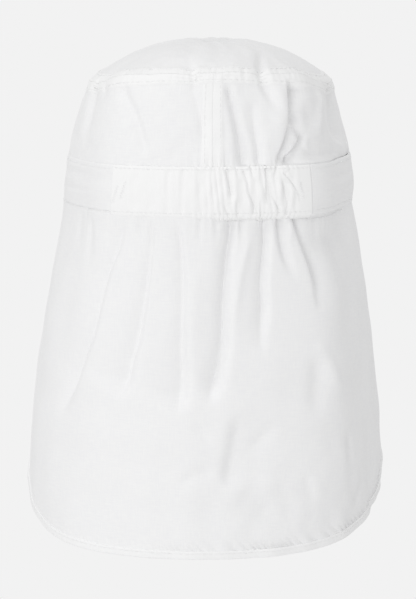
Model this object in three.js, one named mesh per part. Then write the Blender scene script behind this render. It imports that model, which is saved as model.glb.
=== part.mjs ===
// A child's cotton sun hat with a neck flap, in the form that it has on a level head.
// Millimetres. The origin is the centre of the head opening, in the plane of the headband's lower edge.
// +Z points up, the peak points to -Y and the centre back of the neck flap faces +Y.
// A turn is an angle round the head: 0 at the centre back, positive towards the wearer's right (-X).

import * as THREE from "three";

// Cloth and seams
const CLOTH = 1.2; // one layer of the crown or the flap, with its seam allowances evened out
const BAND_CLOTH = 2.0; // the folded headband and the casing with its elastic
const HEM_RAISE = 0.4; // the hem, turned twice, stands out this much on both faces
const SEAM_GAP = 0.3; // between two pieces that are sewn edge to edge

// Head opening and crown
const HEAD_WIDTH = 153; // outside the headband's lower edge, ear to ear
const HEAD_LENGTH = 180; // the same, from brow to nape
const BAND_HEIGHT = 26;
const TIP_WIDTH = 126.5; // the top panel, seam to seam
const TIP_LENGTH = 152;
const TIP_SEAM_SIDE_HEIGHT = 64; // height of the top panel's seam over the ears
const TIP_SEAM_END_HEIGHT = 74; // and at the front and back, where the panel bends less
const CROWN_HEIGHT = 85.2;
const CROWN_SWAY = 1.3; // the top leans a little towards the wearer's right
const WALL_CURVE = 1.9; // how late the side wall leans in towards the top panel
const TIP_CURVE_AT_SIDES = 2.6; // how flat the top panel stays before it bends down to its seam
const TIP_CURVE_AT_ENDS = 3.6;
const BACK_SEAM_WIDTH = 11; // the stiff strip where the back seam's allowances are stitched down
const BACK_SEAM_RAISE = 0.6;

// Elastic casing at the back
const CASING_WIDTH = 98; // straight across, between its two ends
const CASING_ANCHOR = 10; // flat cloth at each end, where the elastic is tacked
const GATHER_PITCH = 7.2; // from one small gather to the next
const GATHER_AT_SEAM = 0.5; // half height of a gather where it is stitched flat
const GATHER_IN_CASING = 1.3; // and at the casing's mid height
const GATHER_FADE = 9; // how far a gather runs on above and below the casing
const CASING_PUFF = 1.2;

// Neck flap
const FLAP_TOP_INSET = 1.2; // the flap is sewn in behind the headband's outer face
const FLAP_DROP = 175; // at the centre back
const FLAP_FRONT_DROP = 106; // straight front edge, down to where the lower corner begins
const FLAP_LOW_WIDTH = 188; // across its widest place
const FLAP_LOW_LENGTH = 200; // twice the distance from the origin to its lower back
const FLAP_FLARE = 2.05; // how early the flap spreads as it falls
const FLAP_SWAY = 1.9; // how far its lower part hangs over to the wearer's left
const FLAP_TOP_REACH = 163; // along the seam, from the centre back to the front edge
const FLAP_LOW_REACH = 178; // along the cloth, from the centre back to the corner
const FLAP_TOP_TURN = THREE.MathUtils.degToRad(114);
const FLAP_LOW_TURN = THREE.MathUtils.degToRad(105);
// Roundness of the lower edge, which hangs lower on the wearer's left
const CORNER_LEFT = { across: 3.2, down: 2.1 };
const CORNER_RIGHT = { across: 2.6, down: 1.75 };
const HEM_WIDTH = 4.4;
const HEM_STEP = 0.5; // the slope up to the hem, along the cloth

// Peak
const PEAK_LENGTH = 54;
const PEAK_THICKNESS = 2.6;
const PEAK_END_LENGTH = 7; // how far the peak stands out at its two ends
const PEAK_FLAP_GAP = 1.5; // along the headband, between the peak's end and the flap's front edge
const PEAK_ROUNDNESS = 2.4;
const PEAK_DROOP = THREE.MathUtils.degToRad(20); // below level at the middle
const PEAK_SIDE_DROOP = THREE.MathUtils.degToRad(22); // and this much more at its ends
const PEAK_AHEAD = 0.55; // how far its sides turn from straight out of the headband to straight ahead

// Broad rises and hollows round the head. The elastic pulls the back flat, and the cloth turns sharply past
// its ends. turn and wide are degrees, turn positive towards the wearer's right. high is a share of
// BACK_FORM_HEIGHT, below 0 for a hollow.
const BACK_FORM_HEIGHT = 5;
const BACK_FORM = [
  { turn: 42, wide: 14, high: 1.0 },
  { turn: -43, wide: 14, high: 0.8 },
  { turn: 0, wide: 22, high: -0.5 },
  { turn: 70, wide: 12, high: -0.4 },
];
const BACK_FORM_AT_HEM = 0.6; // the share of it that is left at the flap's lowest hem

// Sizes that the tables of folds give shares of
const FOLD_WIDTH = 10; // half the width of a broad fold
const FOLD_HEIGHT = 4; // how far a deep fold stands in or out

// Folds of the crown, as seen from behind. from and to are places across the hat, as shares of its half width.
// start and end are heights, 0 at the top panel's seam and 1 at the casing, below 0 on the top panel.
// fullest is the share of its run where the fold is highest. wide and high are shares of FOLD_WIDTH and
// FOLD_HEIGHT, and a valley's high is below 0.
const CROWN_FOLDS = [
  { from: -0.6, to: -0.44, start: 0.05, end: 0.95, bow: 0.0, fullest: 0.4, wide: 0.26, high: -0.4 },
  { from: -0.68, to: -0.58, start: 0.0, end: 0.9, bow: 0.02, fullest: 0.5, wide: 0.6, high: 0.3 },
  { from: -0.16, to: -0.03, start: -0.35, end: 1.0, bow: -0.02, fullest: 0.3, wide: 0.32, high: -0.475 },
  { from: -0.27, to: -0.2, start: 0.0, end: 1.0, bow: 0.0, fullest: 0.6, wide: 0.8, high: 0.325 },
  { from: 0.1, to: 0.2, start: 0.02, end: 1.0, bow: 0.02, fullest: 0.6, wide: 0.36, high: -0.75 },
  { from: 0.2, to: 0.27, start: 0.1, end: 1.0, bow: 0.0, fullest: 0.6, wide: 0.32, high: 0.4 },
  { from: 0.24, to: 0.34, start: 0.2, end: 1.0, bow: 0.0, fullest: 0.7, wide: 0.3, high: -0.55 },
  { from: 0.33, to: 0.5, start: -0.35, end: 0.45, bow: -0.03, fullest: 0.5, wide: 0.34, high: -0.6 },
  { from: 0.46, to: 0.38, start: 0.1, end: 1.0, bow: 0.03, fullest: 0.5, wide: 0.5, high: 0.55 },
  { from: 0.57, to: 0.45, start: 0.0, end: 1.0, bow: 0.05, fullest: 0.45, wide: 0.34, high: -0.85 },
  { from: 0.56, to: 0.66, start: 0.3, end: 0.75, bow: 0.0, fullest: 0.5, wide: 0.3, high: -0.45 },
  { from: 0.7, to: 0.48, start: 0.66, end: 1.02, bow: 0.0, fullest: 0.6, wide: 0.22, high: -0.6 },
  { from: 0.72, to: 0.78, start: 0.0, end: 0.8, bow: 0.03, fullest: 0.5, wide: 0.6, high: 0.35 },
];

// Folds of the neck flap, the same way: 0 is the seam under the headband and 1 the lowest hem.
const FLAP_FOLDS = [
  { from: -0.8, to: -0.86, start: 0.0, end: 0.5, bow: 0.0, fullest: 0.3, wide: 0.5, high: -0.35 },
  { from: -0.57, to: -0.8, start: 0.0, end: 0.75, bow: 0.02, fullest: 0.3, wide: 0.5, high: -0.6 },
  { from: -0.47, to: -0.56, start: 0.0, end: 0.3, bow: 0.0, fullest: 0.35, wide: 0.3, high: -0.35 },
  { from: -0.52, to: -0.66, start: 0.02, end: 0.7, bow: 0.04, fullest: 0.3, wide: 0.5, high: 0.4 },
  { from: -0.38, to: -0.52, start: 0.0, end: 0.72, bow: 0.05, fullest: 0.35, wide: 0.44, high: -0.65 },
  { from: -0.29, to: -0.37, start: 0.0, end: 0.7, bow: 0.03, fullest: 0.35, wide: 0.6, high: 0.45 },
  { from: -0.21, to: -0.2, start: 0.0, end: 0.75, bow: -0.03, fullest: 0.45, wide: 0.65, high: -0.75 },
  { from: -0.08, to: -0.08, start: 0.0, end: 0.22, bow: 0.0, fullest: 0.35, wide: 0.3, high: -0.35 },
  { from: -0.1, to: -0.06, start: 0.03, end: 0.66, bow: 0.0, fullest: 0.5, wide: 0.6, high: 0.6 },
  { from: 0.13, to: -0.01, start: 0.0, end: 0.66, bow: 0.01, fullest: 0.4, wide: 0.5, high: -1.05 },
  { from: 0.21, to: 0.12, start: 0.0, end: 0.6, bow: 0.02, fullest: 0.3, wide: 0.4, high: 0.6 },
  { from: 0.2, to: 0.2, start: 0.0, end: 0.2, bow: 0.0, fullest: 0.35, wide: 0.26, high: -0.35 },
  { from: 0.36, to: 0.27, start: 0.0, end: 0.62, bow: 0.02, fullest: 0.3, wide: 0.44, high: -0.75 },
  { from: 0.41, to: 0.38, start: 0.0, end: 0.6, bow: 0.01, fullest: 0.3, wide: 0.36, high: 0.5 },
  { from: 0.46, to: 0.54, start: 0.0, end: 0.34, bow: 0.0, fullest: 0.35, wide: 0.3, high: -0.55 },
  { from: 0.53, to: 0.63, start: 0.0, end: 0.5, bow: 0.03, fullest: 0.4, wide: 0.5, high: 0.45 },
  { from: 0.57, to: 0.71, start: 0.0, end: 0.6, bow: 0.06, fullest: 0.35, wide: 0.46, high: -1.0 },
  { from: 0.66, to: 0.8, start: 0.3, end: 0.85, bow: 0.02, fullest: 0.5, wide: 0.8, high: 0.55 },
  { from: 0.12, to: 0.1, start: 0.58, end: 0.84, bow: 0.0, fullest: 0.6, wide: 0.6, high: -0.6 },
  { from: 0.3, to: 0.16, start: 0.6, end: 0.78, bow: 0.0, fullest: 0.6, wide: 0.5, high: -0.3 },
  { from: 0.3, to: 0.5, start: 0.7, end: 0.95, bow: 0.0, fullest: 0.5, wide: 1.2, high: 0.375 },
];

// Long creases of the side bands: down is 0 at the band's upper edge and 1 at its lower edge.
const BAND_CREASES = [
  { down: 0.3, wide: 0.22, high: -0.15 },
  { down: 0.62, wide: 0.2, high: -0.125 },
];
const CREASE_IN_FRONT = 0.4; // the share of them that is left round the front

// How finely each piece is divided: cells round the head or along the piece, and cells up it
const CELLS = {
  crownBack: 20,
  crownSide: 8,
  crownFront: 9,
  crownUp: 7,
  tipRound: 56,
  tipUp: 6,
  casingRound: 56,
  casingUp: 5,
  bandRound: 46,
  bandUp: 5,
  flapBack: 44,
  flapSide: 11,
  flapUp: 12,
  peakRound: 26,
  peakOut: 5,
  outlineCorner: 40,
  outlineFront: 8,
};
const TIP_ROWS_BUNCH = 1.3; // how much closer the top panel's rows lie near its seam
const FLAP_ROWS_BUNCH = 1.25; // and the flap's rows near the casing
const BACK_COLUMNS = 1.09; // the flap's fine columns reach this share of the casing's width

const NORMAL_REACH = 1.5; // millimetres of cloth on each side over which a surface's direction is averaged

const { lerp, clamp, smoothstep } = THREE.MathUtils;
const halfWidth = HEAD_WIDTH / 2;
const halfLength = HEAD_LENGTH / 2;
const casingTurn = Math.asin(CASING_WIDTH / HEAD_WIDTH);
const bandTop = BAND_HEIGHT + SEAM_GAP / 2;

// Values from one end of a stretch to the other, both included.
function steps(from, to, cells) {
  return Array.from({ length: cells + 1 }, (_, i) => lerp(from, to, i / cells));
}

// Several stretches in a row, without the doubled places where they meet.
function chain(...stretches) {
  return stretches.flatMap((stretch, i) => (i === 0 ? stretch : stretch.slice(1)));
}

// Place across the hat as seen from behind, -1 to 1, and on past 1 where the cloth turns to the front.
function acrossAt(turn) {
  const sideways = Math.sin(turn);
  return Math.cos(turn) >= 0 ? sideways : Math.sign(sideways) * (2 - Math.abs(sideways));
}

// The height of all folds of a table at one place.
function foldHeight(folds, across, down, halfAcross) {
  let height = 0;
  for (const fold of folds) {
    const along = (down - fold.start) / (fold.end - fold.start);
    if (along <= 0 || along >= 1) continue;
    const middle = lerp(fold.from, fold.to, along) + fold.bow * 4 * along * (1 - along);
    const offset = ((across - middle) * halfAcross) / (fold.wide * FOLD_WIDTH);
    const swell = Math.sin(Math.PI * along ** (Math.log(0.5) / Math.log(fold.fullest)));
    height += fold.high * FOLD_HEIGHT * swell * Math.exp(-offset * offset);
  }
  return height;
}

// The small gathers that the elastic draws, the same on both sides of a seam so that the edges meet.
function gatherHeight(across, height) {
  const sideways = across * halfWidth;
  const flatFrom = CASING_WIDTH / 2 - CASING_ANCHOR;
  const inside = 1 - smoothstep(Math.abs(sideways), flatFrom - GATHER_PITCH, flatFrom);
  const uneven = Math.sin(sideways / GATHER_PITCH);
  return height * inside * Math.sin((2 * Math.PI * sideways) / GATHER_PITCH + uneven);
}

// The height of the back seam's stiff strip.
function backSeamHeight(across) {
  const sideways = Math.abs(across * halfWidth);
  return BACK_SEAM_RAISE * (1 - smoothstep(sideways, BACK_SEAM_WIDTH / 2 - 1, BACK_SEAM_WIDTH / 2 + 1));
}

// The height of the top panel's seam: lower over the ears than at the front and back.
function tipSeamHeight(turn) {
  return lerp(TIP_SEAM_SIDE_HEIGHT, TIP_SEAM_END_HEIGHT, Math.cos(turn) ** 2);
}

// The height of the broad rises and hollows.
function backForm(turn) {
  const degrees = THREE.MathUtils.radToDeg(turn);
  let height = 0;
  for (const form of BACK_FORM) {
    const offset = (degrees - form.turn) / form.wide;
    height += form.high * BACK_FORM_HEIGHT * Math.exp(-offset * offset);
  }
  return height;
}

// The level direction square to an oval of those half widths.
function ovalOutward(ovalWidth, ovalLength, turn) {
  return new THREE.Vector3(-ovalLength * Math.sin(turn), ovalWidth * Math.cos(turn), 0).normalize();
}

// A place on an oval, pushed out by lift.
function ovalPlace(ovalWidth, ovalLength, turn, z, lift) {
  const place = new THREE.Vector3(-ovalWidth * Math.sin(turn), ovalLength * Math.cos(turn), z);
  return place.addScaledVector(ovalOutward(ovalWidth, ovalLength, turn), lift);
}

// The outside of the crown and headband, without gathers: rise is 0 at the headband's lower edge, 1 at the
// top panel's seam and 2 at the crown's top. lift is square to the cloth, and turns from outward to upward at
// the seam.
function crownPlace(turn, rise, lift = 0) {
  const tilt = (smoothstep(rise, 0.8, 1.2) * Math.PI) / 2;
  const sway = CROWN_SWAY * smoothstep(rise, 0.7, 1.3);
  const height = lift + backForm(turn) * (1 - smoothstep(rise, 0.7, 1.3));
  const upward = new THREE.Vector3(-sway, 0, height * Math.sin(tilt));
  const outward = height * Math.cos(tilt);
  if (rise <= 1) {
    const lean = Math.max(rise, 0) ** WALL_CURVE;
    const width = lerp(halfWidth, TIP_WIDTH / 2, lean);
    const length = lerp(halfLength, TIP_LENGTH / 2, lean);
    return ovalPlace(width, length, turn, rise * tipSeamHeight(turn), outward).add(upward);
  }
  const spread = 2 - rise;
  const curve = lerp(TIP_CURVE_AT_SIDES, TIP_CURVE_AT_ENDS, Math.cos(turn) ** 2);
  const z = CROWN_HEIGHT - (CROWN_HEIGHT - tipSeamHeight(turn)) * spread ** curve;
  return ovalPlace((TIP_WIDTH / 2) * spread, (TIP_LENGTH / 2) * spread, turn, z, outward).add(upward);
}

// The crown's cloth with its folds, gathers and back seam.
function crownCloth(turn, rise) {
  const across = acrossAt(turn) * Math.min(1, 2 - rise);
  const seamZ = tipSeamHeight(turn);
  const wallHeight = seamZ - BAND_HEIGHT;
  const down = rise <= 1 ? (seamZ * (1 - rise)) / wallHeight : ((1 - rise) * TIP_LENGTH) / 2 / wallHeight;
  const overCasing = (1 - Math.min(down, 1)) * wallHeight;
  const folds = foldHeight(CROWN_FOLDS, across, down, halfWidth);
  const gathers = gatherHeight(across, GATHER_AT_SEAM * Math.exp(-overCasing / GATHER_FADE));
  const backSeam = Math.cos(turn) > 0 ? backSeamHeight(across) * smoothstep(1 - rise, 0, 0.06) : 0;
  return crownPlace(turn, rise, folds + gathers + backSeam);
}

// The elastic casing: puffed between its two seams, with its gathers highest at mid height.
function casingCloth(turn, up) {
  const across = acrossAt(turn);
  const swell = Math.sin(Math.PI * clamp(up, 0, 1));
  const gathers = gatherHeight(across, lerp(GATHER_AT_SEAM, GATHER_IN_CASING, swell));
  const rise = (up * BAND_HEIGHT) / tipSeamHeight(turn);
  return crownPlace(turn, rise, CASING_PUFF * swell + gathers);
}

// The side and front band: plain, with the long creases of a folded strip.
function bandCloth(turn, up) {
  const rise = (up * BAND_HEIGHT) / tipSeamHeight(turn);
  const inFront = smoothstep(-Math.cos(turn), -0.8, -0.1);
  let lift = 0;
  for (const crease of BAND_CREASES) {
    const offset = ((1 - up - crease.down) * BAND_HEIGHT) / (crease.wide * FOLD_WIDTH);
    lift += crease.high * FOLD_HEIGHT * lerp(1, CREASE_IN_FRONT, inFront) * Math.exp(-offset * offset);
  }
  return crownPlace(turn, rise, lift);
}

// The neck flap. reach is the place along the cloth from the centre back, drop the distance below the
// headband.
function flapCloth(reach, drop) {
  const fallen = drop / FLAP_DROP;
  const frontEdge = lerp(FLAP_TOP_REACH, FLAP_LOW_REACH, drop / FLAP_FRONT_DROP);
  const turn = (reach / frontEdge) * lerp(FLAP_TOP_TURN, FLAP_LOW_TURN, drop / FLAP_FRONT_DROP);
  const flare = 1 - Math.abs(1 - fallen) ** FLAP_FLARE;
  const flapHalfWidth = lerp(halfWidth - FLAP_TOP_INSET, FLAP_LOW_WIDTH / 2, flare);
  const flapHalfLength = lerp(halfLength - FLAP_TOP_INSET, FLAP_LOW_LENGTH / 2, flare);
  const across = acrossAt(turn);
  const folds = foldHeight(FLAP_FOLDS, across, fallen, flapHalfWidth);
  const gathers = gatherHeight(across, GATHER_AT_SEAM * Math.exp(-drop / GATHER_FADE));
  const form = backForm(turn) * lerp(1, BACK_FORM_AT_HEM, fallen);
  const place = ovalPlace(flapHalfWidth, flapHalfLength, turn, -SEAM_GAP - drop, form + folds + gathers);
  return place.add(new THREE.Vector3(FLAP_SWAY * smoothstep(fallen, 0, 0.5), 0, 0));
}

// The flap's outline in the flat, from the lowest place at the centre back, round the corner and up the
// front edge.
function flapOutline(corner) {
  const cornerDrop = FLAP_DROP - FLAP_FRONT_DROP;
  const places = steps(Math.PI / 2, 0, CELLS.outlineCorner).map(
    (angle) =>
      new THREE.Vector2(
        FLAP_LOW_REACH * Math.cos(angle) ** (2 / corner.across),
        FLAP_FRONT_DROP + cornerDrop * Math.sin(angle) ** (2 / corner.down),
      ),
  );
  const upEdge = steps(FLAP_FRONT_DROP, 0, CELLS.outlineFront).slice(1);
  for (const drop of upEdge) {
    places.push(new THREE.Vector2(lerp(FLAP_TOP_REACH, FLAP_LOW_REACH, drop / FLAP_FRONT_DROP), drop));
  }
  return new THREE.SplineCurve(places);
}

// A place on the outline, moved in by inset. along is 0 at the lowest place and 1 at the top of the front
// edge.
function outlinePlace(outline, along, inset) {
  const tangent = outline.getTangentAt(along);
  return outline.getPointAt(along).add(new THREE.Vector2(tangent.y, -tangent.x).multiplyScalar(inset));
}

// The turn at which the peak's end meets the flap's front edge, with a small gap.
const peakHalfTurn = Math.PI - FLAP_TOP_TURN - (2 * PEAK_FLAP_GAP) / (halfWidth + halfLength);

// The peak's underside. side runs from -1 to 1 across it, and out from 0 at the headband to 1 at its edge.
function peakUnderside(side, out) {
  const turn = Math.PI + side * peakHalfTurn;
  const inset = BAND_CLOTH;
  const root = ovalPlace(halfWidth, halfLength, turn, -SEAM_GAP - PEAK_THICKNESS, -inset);
  const outward = ovalOutward(halfWidth, halfLength, turn);
  const forward = outward.lerp(new THREE.Vector3(0, -1, 0), PEAK_AHEAD).normalize();
  const roundness = Math.sqrt(Math.max(0, 1 - Math.abs(side) ** PEAK_ROUNDNESS));
  const reach = out * (inset + lerp(PEAK_END_LENGTH, PEAK_LENGTH, roundness));
  const droop = PEAK_DROOP + PEAK_SIDE_DROOP * side * side;
  const place = root.addScaledVector(forward, reach * Math.cos(droop));
  return place.add(new THREE.Vector3(0, 0, -reach * Math.sin(droop)));
}

// The direction square to a surface, averaged over a short reach so that two pieces agree at a sharp seam.
function outwardOf(surface, x, y, reachX, reachY) {
  const acrossCloth = surface(x + reachX, y).sub(surface(x - reachX, y));
  const upCloth = surface(x, y + reachY).sub(surface(x, y - reachY));
  const outward = acrossCloth.cross(upCloth);
  return outward.length() < 1e-6 ? new THREE.Vector3(0, 0, 1) : outward.normalize();
}

const asLaid = (u, v) => [u, v];
const noRaise = () => 0;

// One piece of cloth as a closed solid. plan(u, v) is the place on the piece, surface(x, y) that place on the
// hat, thickness the cloth behind it and raise(u, v) an extra layer on both faces. reach is the pair of steps
// that cover NORMAL_REACH of cloth. A ring joins its last column to its first. A peaked piece ends in one
// point at its last row.
function clothSolid({ plan = asLaid, surface, thickness, raise = noRaise, columns, rows, reach, ring, peaked }) {
  const outer = [];
  const inner = [];
  for (const u of columns) {
    for (const v of rows) {
      const [x, y] = plan(u, v);
      const atPeak = peaked && v === rows[rows.length - 1];
      const outward = atPeak ? new THREE.Vector3(0, 0, 1) : outwardOf(surface, x, y, ...reach);
      const place = surface(x, y);
      outer.push(place.clone().addScaledVector(outward, raise(u, v)));
      inner.push(place.addScaledVector(outward, -thickness - raise(u, v)));
    }
  }
  const up = rows.length;
  const lastColumn = columns.length - (ring ? 0 : 1);
  const index = (i, j) => (i % columns.length) * up + j;
  const corners = [];
  const addTriangle = (a, b, c) => {
    const tiny = 1e-4;
    const sides = [a.distanceTo(b), b.distanceTo(c), c.distanceTo(a)];
    if (Math.min(...sides) > tiny) corners.push(a, b, c);
  };
  const addCell = (a, b, c, d) => {
    addTriangle(a, b, c);
    addTriangle(a, c, d);
  };
  for (let i = 0; i < lastColumn; i++) {
    for (let j = 0; j < up - 1; j++) {
      const [a, b, c, d] = [index(i, j), index(i + 1, j), index(i + 1, j + 1), index(i, j + 1)];
      addCell(outer[a], outer[b], outer[c], outer[d]);
      addCell(inner[a], inner[d], inner[c], inner[b]);
    }
    const [low, nextLow] = [index(i, 0), index(i + 1, 0)];
    const [high, nextHigh] = [index(i, up - 1), index(i + 1, up - 1)];
    addCell(outer[nextLow], outer[low], inner[low], inner[nextLow]);
    if (!peaked) addCell(outer[high], outer[nextHigh], inner[nextHigh], inner[high]);
  }
  for (let j = 0; j < up - 1 && !ring; j++) {
    const [first, firstUp] = [index(0, j), index(0, j + 1)];
    const [last, lastUp] = [index(lastColumn, j), index(lastColumn, j + 1)];
    addCell(outer[first], outer[firstUp], inner[firstUp], inner[first]);
    addCell(outer[lastUp], outer[last], inner[last], inner[lastUp]);
  }
  return new THREE.BufferGeometry().setFromPoints(corners);
}

// Turns of the crown's columns, from the back seam round to the front seam.
function crownTurns(seamTurn) {
  return chain(
    steps(seamTurn, casingTurn, CELLS.crownBack),
    steps(casingTurn, Math.PI / 2, CELLS.crownSide),
    steps(Math.PI / 2, Math.PI - seamTurn, CELLS.crownFront),
  );
}

// One side panel of the crown, from the back seam to the front seam. side is 1 on the wearer's right, -1 on
// the left.
function crownSide(side) {
  const turns = crownTurns(SEAM_GAP / 2 / halfLength);
  return clothSolid({
    plan: (turn, up) => {
      const seamZ = tipSeamHeight(turn);
      return [turn, lerp(bandTop + SEAM_GAP / 2, seamZ - SEAM_GAP / 2, up) / seamZ];
    },
    surface: crownCloth,
    thickness: CLOTH,
    columns: side > 0 ? turns : turns.map((turn) => -turn).reverse(),
    rows: steps(0, 1, CELLS.crownUp),
    reach: [NORMAL_REACH / halfWidth, NORMAL_REACH / TIP_SEAM_SIDE_HEIGHT],
  });
}

// The oval top panel.
function crownTip() {
  const seamRise = 1 + SEAM_GAP / TIP_WIDTH;
  const turns = crownTurns(0);
  const otherSide = turns.slice(1, -1).map((turn) => 2 * Math.PI - turn);
  return clothSolid({
    surface: crownCloth,
    thickness: CLOTH,
    columns: [...turns, ...otherSide.reverse()],
    rows: steps(0, 1, CELLS.tipUp).map((share) => lerp(seamRise, 2, share ** TIP_ROWS_BUNCH)),
    reach: [NORMAL_REACH / halfWidth, NORMAL_REACH / TIP_SEAM_SIDE_HEIGHT],
    ring: true,
    peaked: true,
  });
}

// The band round the sides and the front, from one end of the casing to the other.
function headband() {
  const endGap = SEAM_GAP / halfLength;
  return clothSolid({
    surface: bandCloth,
    thickness: BAND_CLOTH,
    columns: steps(casingTurn + endGap, 2 * Math.PI - casingTurn - endGap, CELLS.bandRound),
    rows: steps(0, 1, CELLS.bandUp),
    reach: [NORMAL_REACH / halfWidth, NORMAL_REACH / BAND_HEIGHT],
  });
}

// The gathered casing of the elastic.
function elasticCasing() {
  return clothSolid({
    surface: casingCloth,
    thickness: BAND_CLOTH,
    columns: steps(-casingTurn, casingTurn, CELLS.casingRound),
    rows: steps(0, 1, CELLS.casingUp),
    reach: [NORMAL_REACH / halfWidth, NORMAL_REACH / BAND_HEIGHT],
  });
}

// The flap with its hem. Inside the hem a column runs from the seam (v = 1) down to its own place on the
// hem's inner edge (v = 0). The hem's two extra rows are v = -1 and -2, and its two extra columns on each
// front edge u = 2 and 3.
function neckFlap() {
  const outlines = { right: flapOutline(CORNER_RIGHT), left: flapOutline(CORNER_LEFT) };
  const insets = [HEM_WIDTH + HEM_STEP, HEM_WIDTH, 0];
  const plan = (u, v) => {
    const side = u < 0 ? -1 : 1;
    const outline = side < 0 ? outlines.left : outlines.right;
    const length = outline.getLength();
    const cornerAlong = 1 - FLAP_FRONT_DROP / length;
    const share = Math.min(Math.abs(u), 1);
    const past = Math.max(Math.round(Math.abs(u) - 1), 0);
    const below = Math.max(Math.round(-v), 0);
    const inset = insets[Math.max(past, below)];
    const nudge = (2 * (past - below) * share ** 8) / length;
    const foot = outlinePlace(outline, share * cornerAlong + (v <= 0 ? nudge : 0), inset);
    const top = share * (FLAP_TOP_REACH - insets[past]);
    const up = Math.max(v, 0);
    return [side * lerp(foot.x, top, up), lerp(foot.y, 0, up)];
  };
  const backShare = ((CASING_WIDTH / 2) * BACK_COLUMNS) / (FLAP_TOP_REACH - insets[0]);
  const hemColumns = [2, 3];
  return clothSolid({
    plan,
    surface: flapCloth,
    thickness: CLOTH,
    raise: (u, v) => (Math.abs(u) > 1.5 || v < -0.5 ? HEM_RAISE : 0),
    columns: [
      ...hemColumns.map((u) => -u).reverse(),
      ...chain(
        steps(-1, -backShare, CELLS.flapSide),
        steps(-backShare, backShare, CELLS.flapBack),
        steps(backShare, 1, CELLS.flapSide),
      ),
      ...hemColumns,
    ],
    rows: [-2, -1, ...steps(0, 1, CELLS.flapUp).map((share) => 1 - (1 - share) ** FLAP_ROWS_BUNCH)],
    reach: [NORMAL_REACH, -NORMAL_REACH],
  });
}

// The peak: a stiff curved plate under the front of the headband.
function frontPeak() {
  return clothSolid({
    surface: peakUnderside,
    thickness: PEAK_THICKNESS,
    columns: steps(-1, 1, CELLS.peakRound),
    rows: steps(0, 1, CELLS.peakOut),
    reach: [NORMAL_REACH / PEAK_LENGTH, NORMAL_REACH / PEAK_LENGTH],
  });
}

function whiteCotton(color, roughness) {
  return new THREE.MeshStandardMaterial({ color, roughness, metalness: 0 });
}

function named(name, geometry, material) {
  const mesh = new THREE.Mesh(geometry, material);
  mesh.name = name;
  geometry.computeVertexNormals();
  return mesh;
}

const crownCotton = whiteCotton("#f2f2f1", 0.88);
const bandCotton = whiteCotton("#f4f4f3", 0.86);
const flapCotton = whiteCotton("#f0f0ef", 0.9);

const crown = new THREE.Group();
crown.add(
  named("crown_tip", crownTip(), crownCotton),
  named("crown_side_right", crownSide(1), crownCotton),
  named("crown_side_left", crownSide(-1), crownCotton),
);

const rim = new THREE.Group();
rim.add(
  named("headband", headband(), bandCotton),
  named("elastic_casing", elasticCasing(), bandCotton),
  named("peak", frontPeak(), bandCotton),
);

const neck = new THREE.Group();
neck.add(named("neck_flap", neckFlap(), flapCotton));

const hat = new THREE.Group();
hat.add(crown, rim, neck);

export default hat;
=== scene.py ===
"""A child's white cotton flap sun hat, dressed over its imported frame.

Sizes are in millimetres until a mesh is made, and in metres from there on.
A turn is an angle round the head in radians: 0 at the centre back, positive towards the wearer's right.
"""

import logging
import math
from collections.abc import Callable, Sequence
from dataclasses import dataclass, field
from enum import Enum

import bmesh
import bpy
import numpy as np
from mathutils import Matrix, Vector


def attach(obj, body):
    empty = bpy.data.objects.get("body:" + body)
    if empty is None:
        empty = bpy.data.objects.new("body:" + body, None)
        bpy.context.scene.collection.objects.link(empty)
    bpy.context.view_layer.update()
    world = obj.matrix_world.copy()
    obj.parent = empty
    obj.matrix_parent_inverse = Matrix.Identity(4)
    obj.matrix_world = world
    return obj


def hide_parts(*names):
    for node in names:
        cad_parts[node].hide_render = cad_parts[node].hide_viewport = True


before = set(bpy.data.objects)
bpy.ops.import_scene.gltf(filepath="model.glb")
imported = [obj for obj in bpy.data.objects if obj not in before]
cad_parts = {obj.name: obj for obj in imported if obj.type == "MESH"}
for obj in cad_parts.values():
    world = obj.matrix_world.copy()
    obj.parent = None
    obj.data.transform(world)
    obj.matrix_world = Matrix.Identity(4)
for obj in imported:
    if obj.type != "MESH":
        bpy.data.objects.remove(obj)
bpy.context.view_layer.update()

log = logging.getLogger("flap_hat")

MM = 0.001
UV_MM = 100.0  # one unit of a piece's UV map is this many millimetres of cloth
Grid = np.ndarray
Surface = Callable[[Grid, Grid], Grid]
OnCloth = Callable[[Grid, Grid], tuple[Grid, Grid]]  # a fold's turn and place to millimetres on the cloth
Row = tuple[Grid, Grid]  # a stitched row: its points, and the cloth's outward direction at each
Cloth = bpy.types.Material
Piece = bpy.types.Object


# Numbers and reliefs in common


def smoothstep(x: Grid, low: float, high: float) -> Grid:
    """Rise softly from 0 at low to 1 at high."""
    share = np.clip((x - low) / (high - low), 0.0, 1.0)
    return share * share * (3.0 - 2.0 * share)


def bell(x: Grid) -> Grid:
    """A hump of height 1 and half width 1 about 0."""
    return np.exp(-x * x)


def mix(low: Grid, high: Grid, share: Grid) -> Grid:
    """The value at a share of the way from low to high."""
    return low + (high - low) * share


def cells(count: int) -> int:
    return count // 2 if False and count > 12 else count


def spaced(*stretches: tuple[float, float, int]) -> Grid:
    """Places along stretches in a row, each (from, to, cells), without doubled ends."""
    parts = [np.linspace(low, high, cells(count) + 1) for low, high, count in stretches]
    return np.concatenate([parts[0]] + [part[1:] for part in parts[1:]])


def run_along(line: Grid) -> Grid:
    """The distance along a line at each of its points."""
    return np.concatenate([[0.0], np.cumsum(np.linalg.norm(np.diff(line, axis=0), axis=1))])


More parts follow.
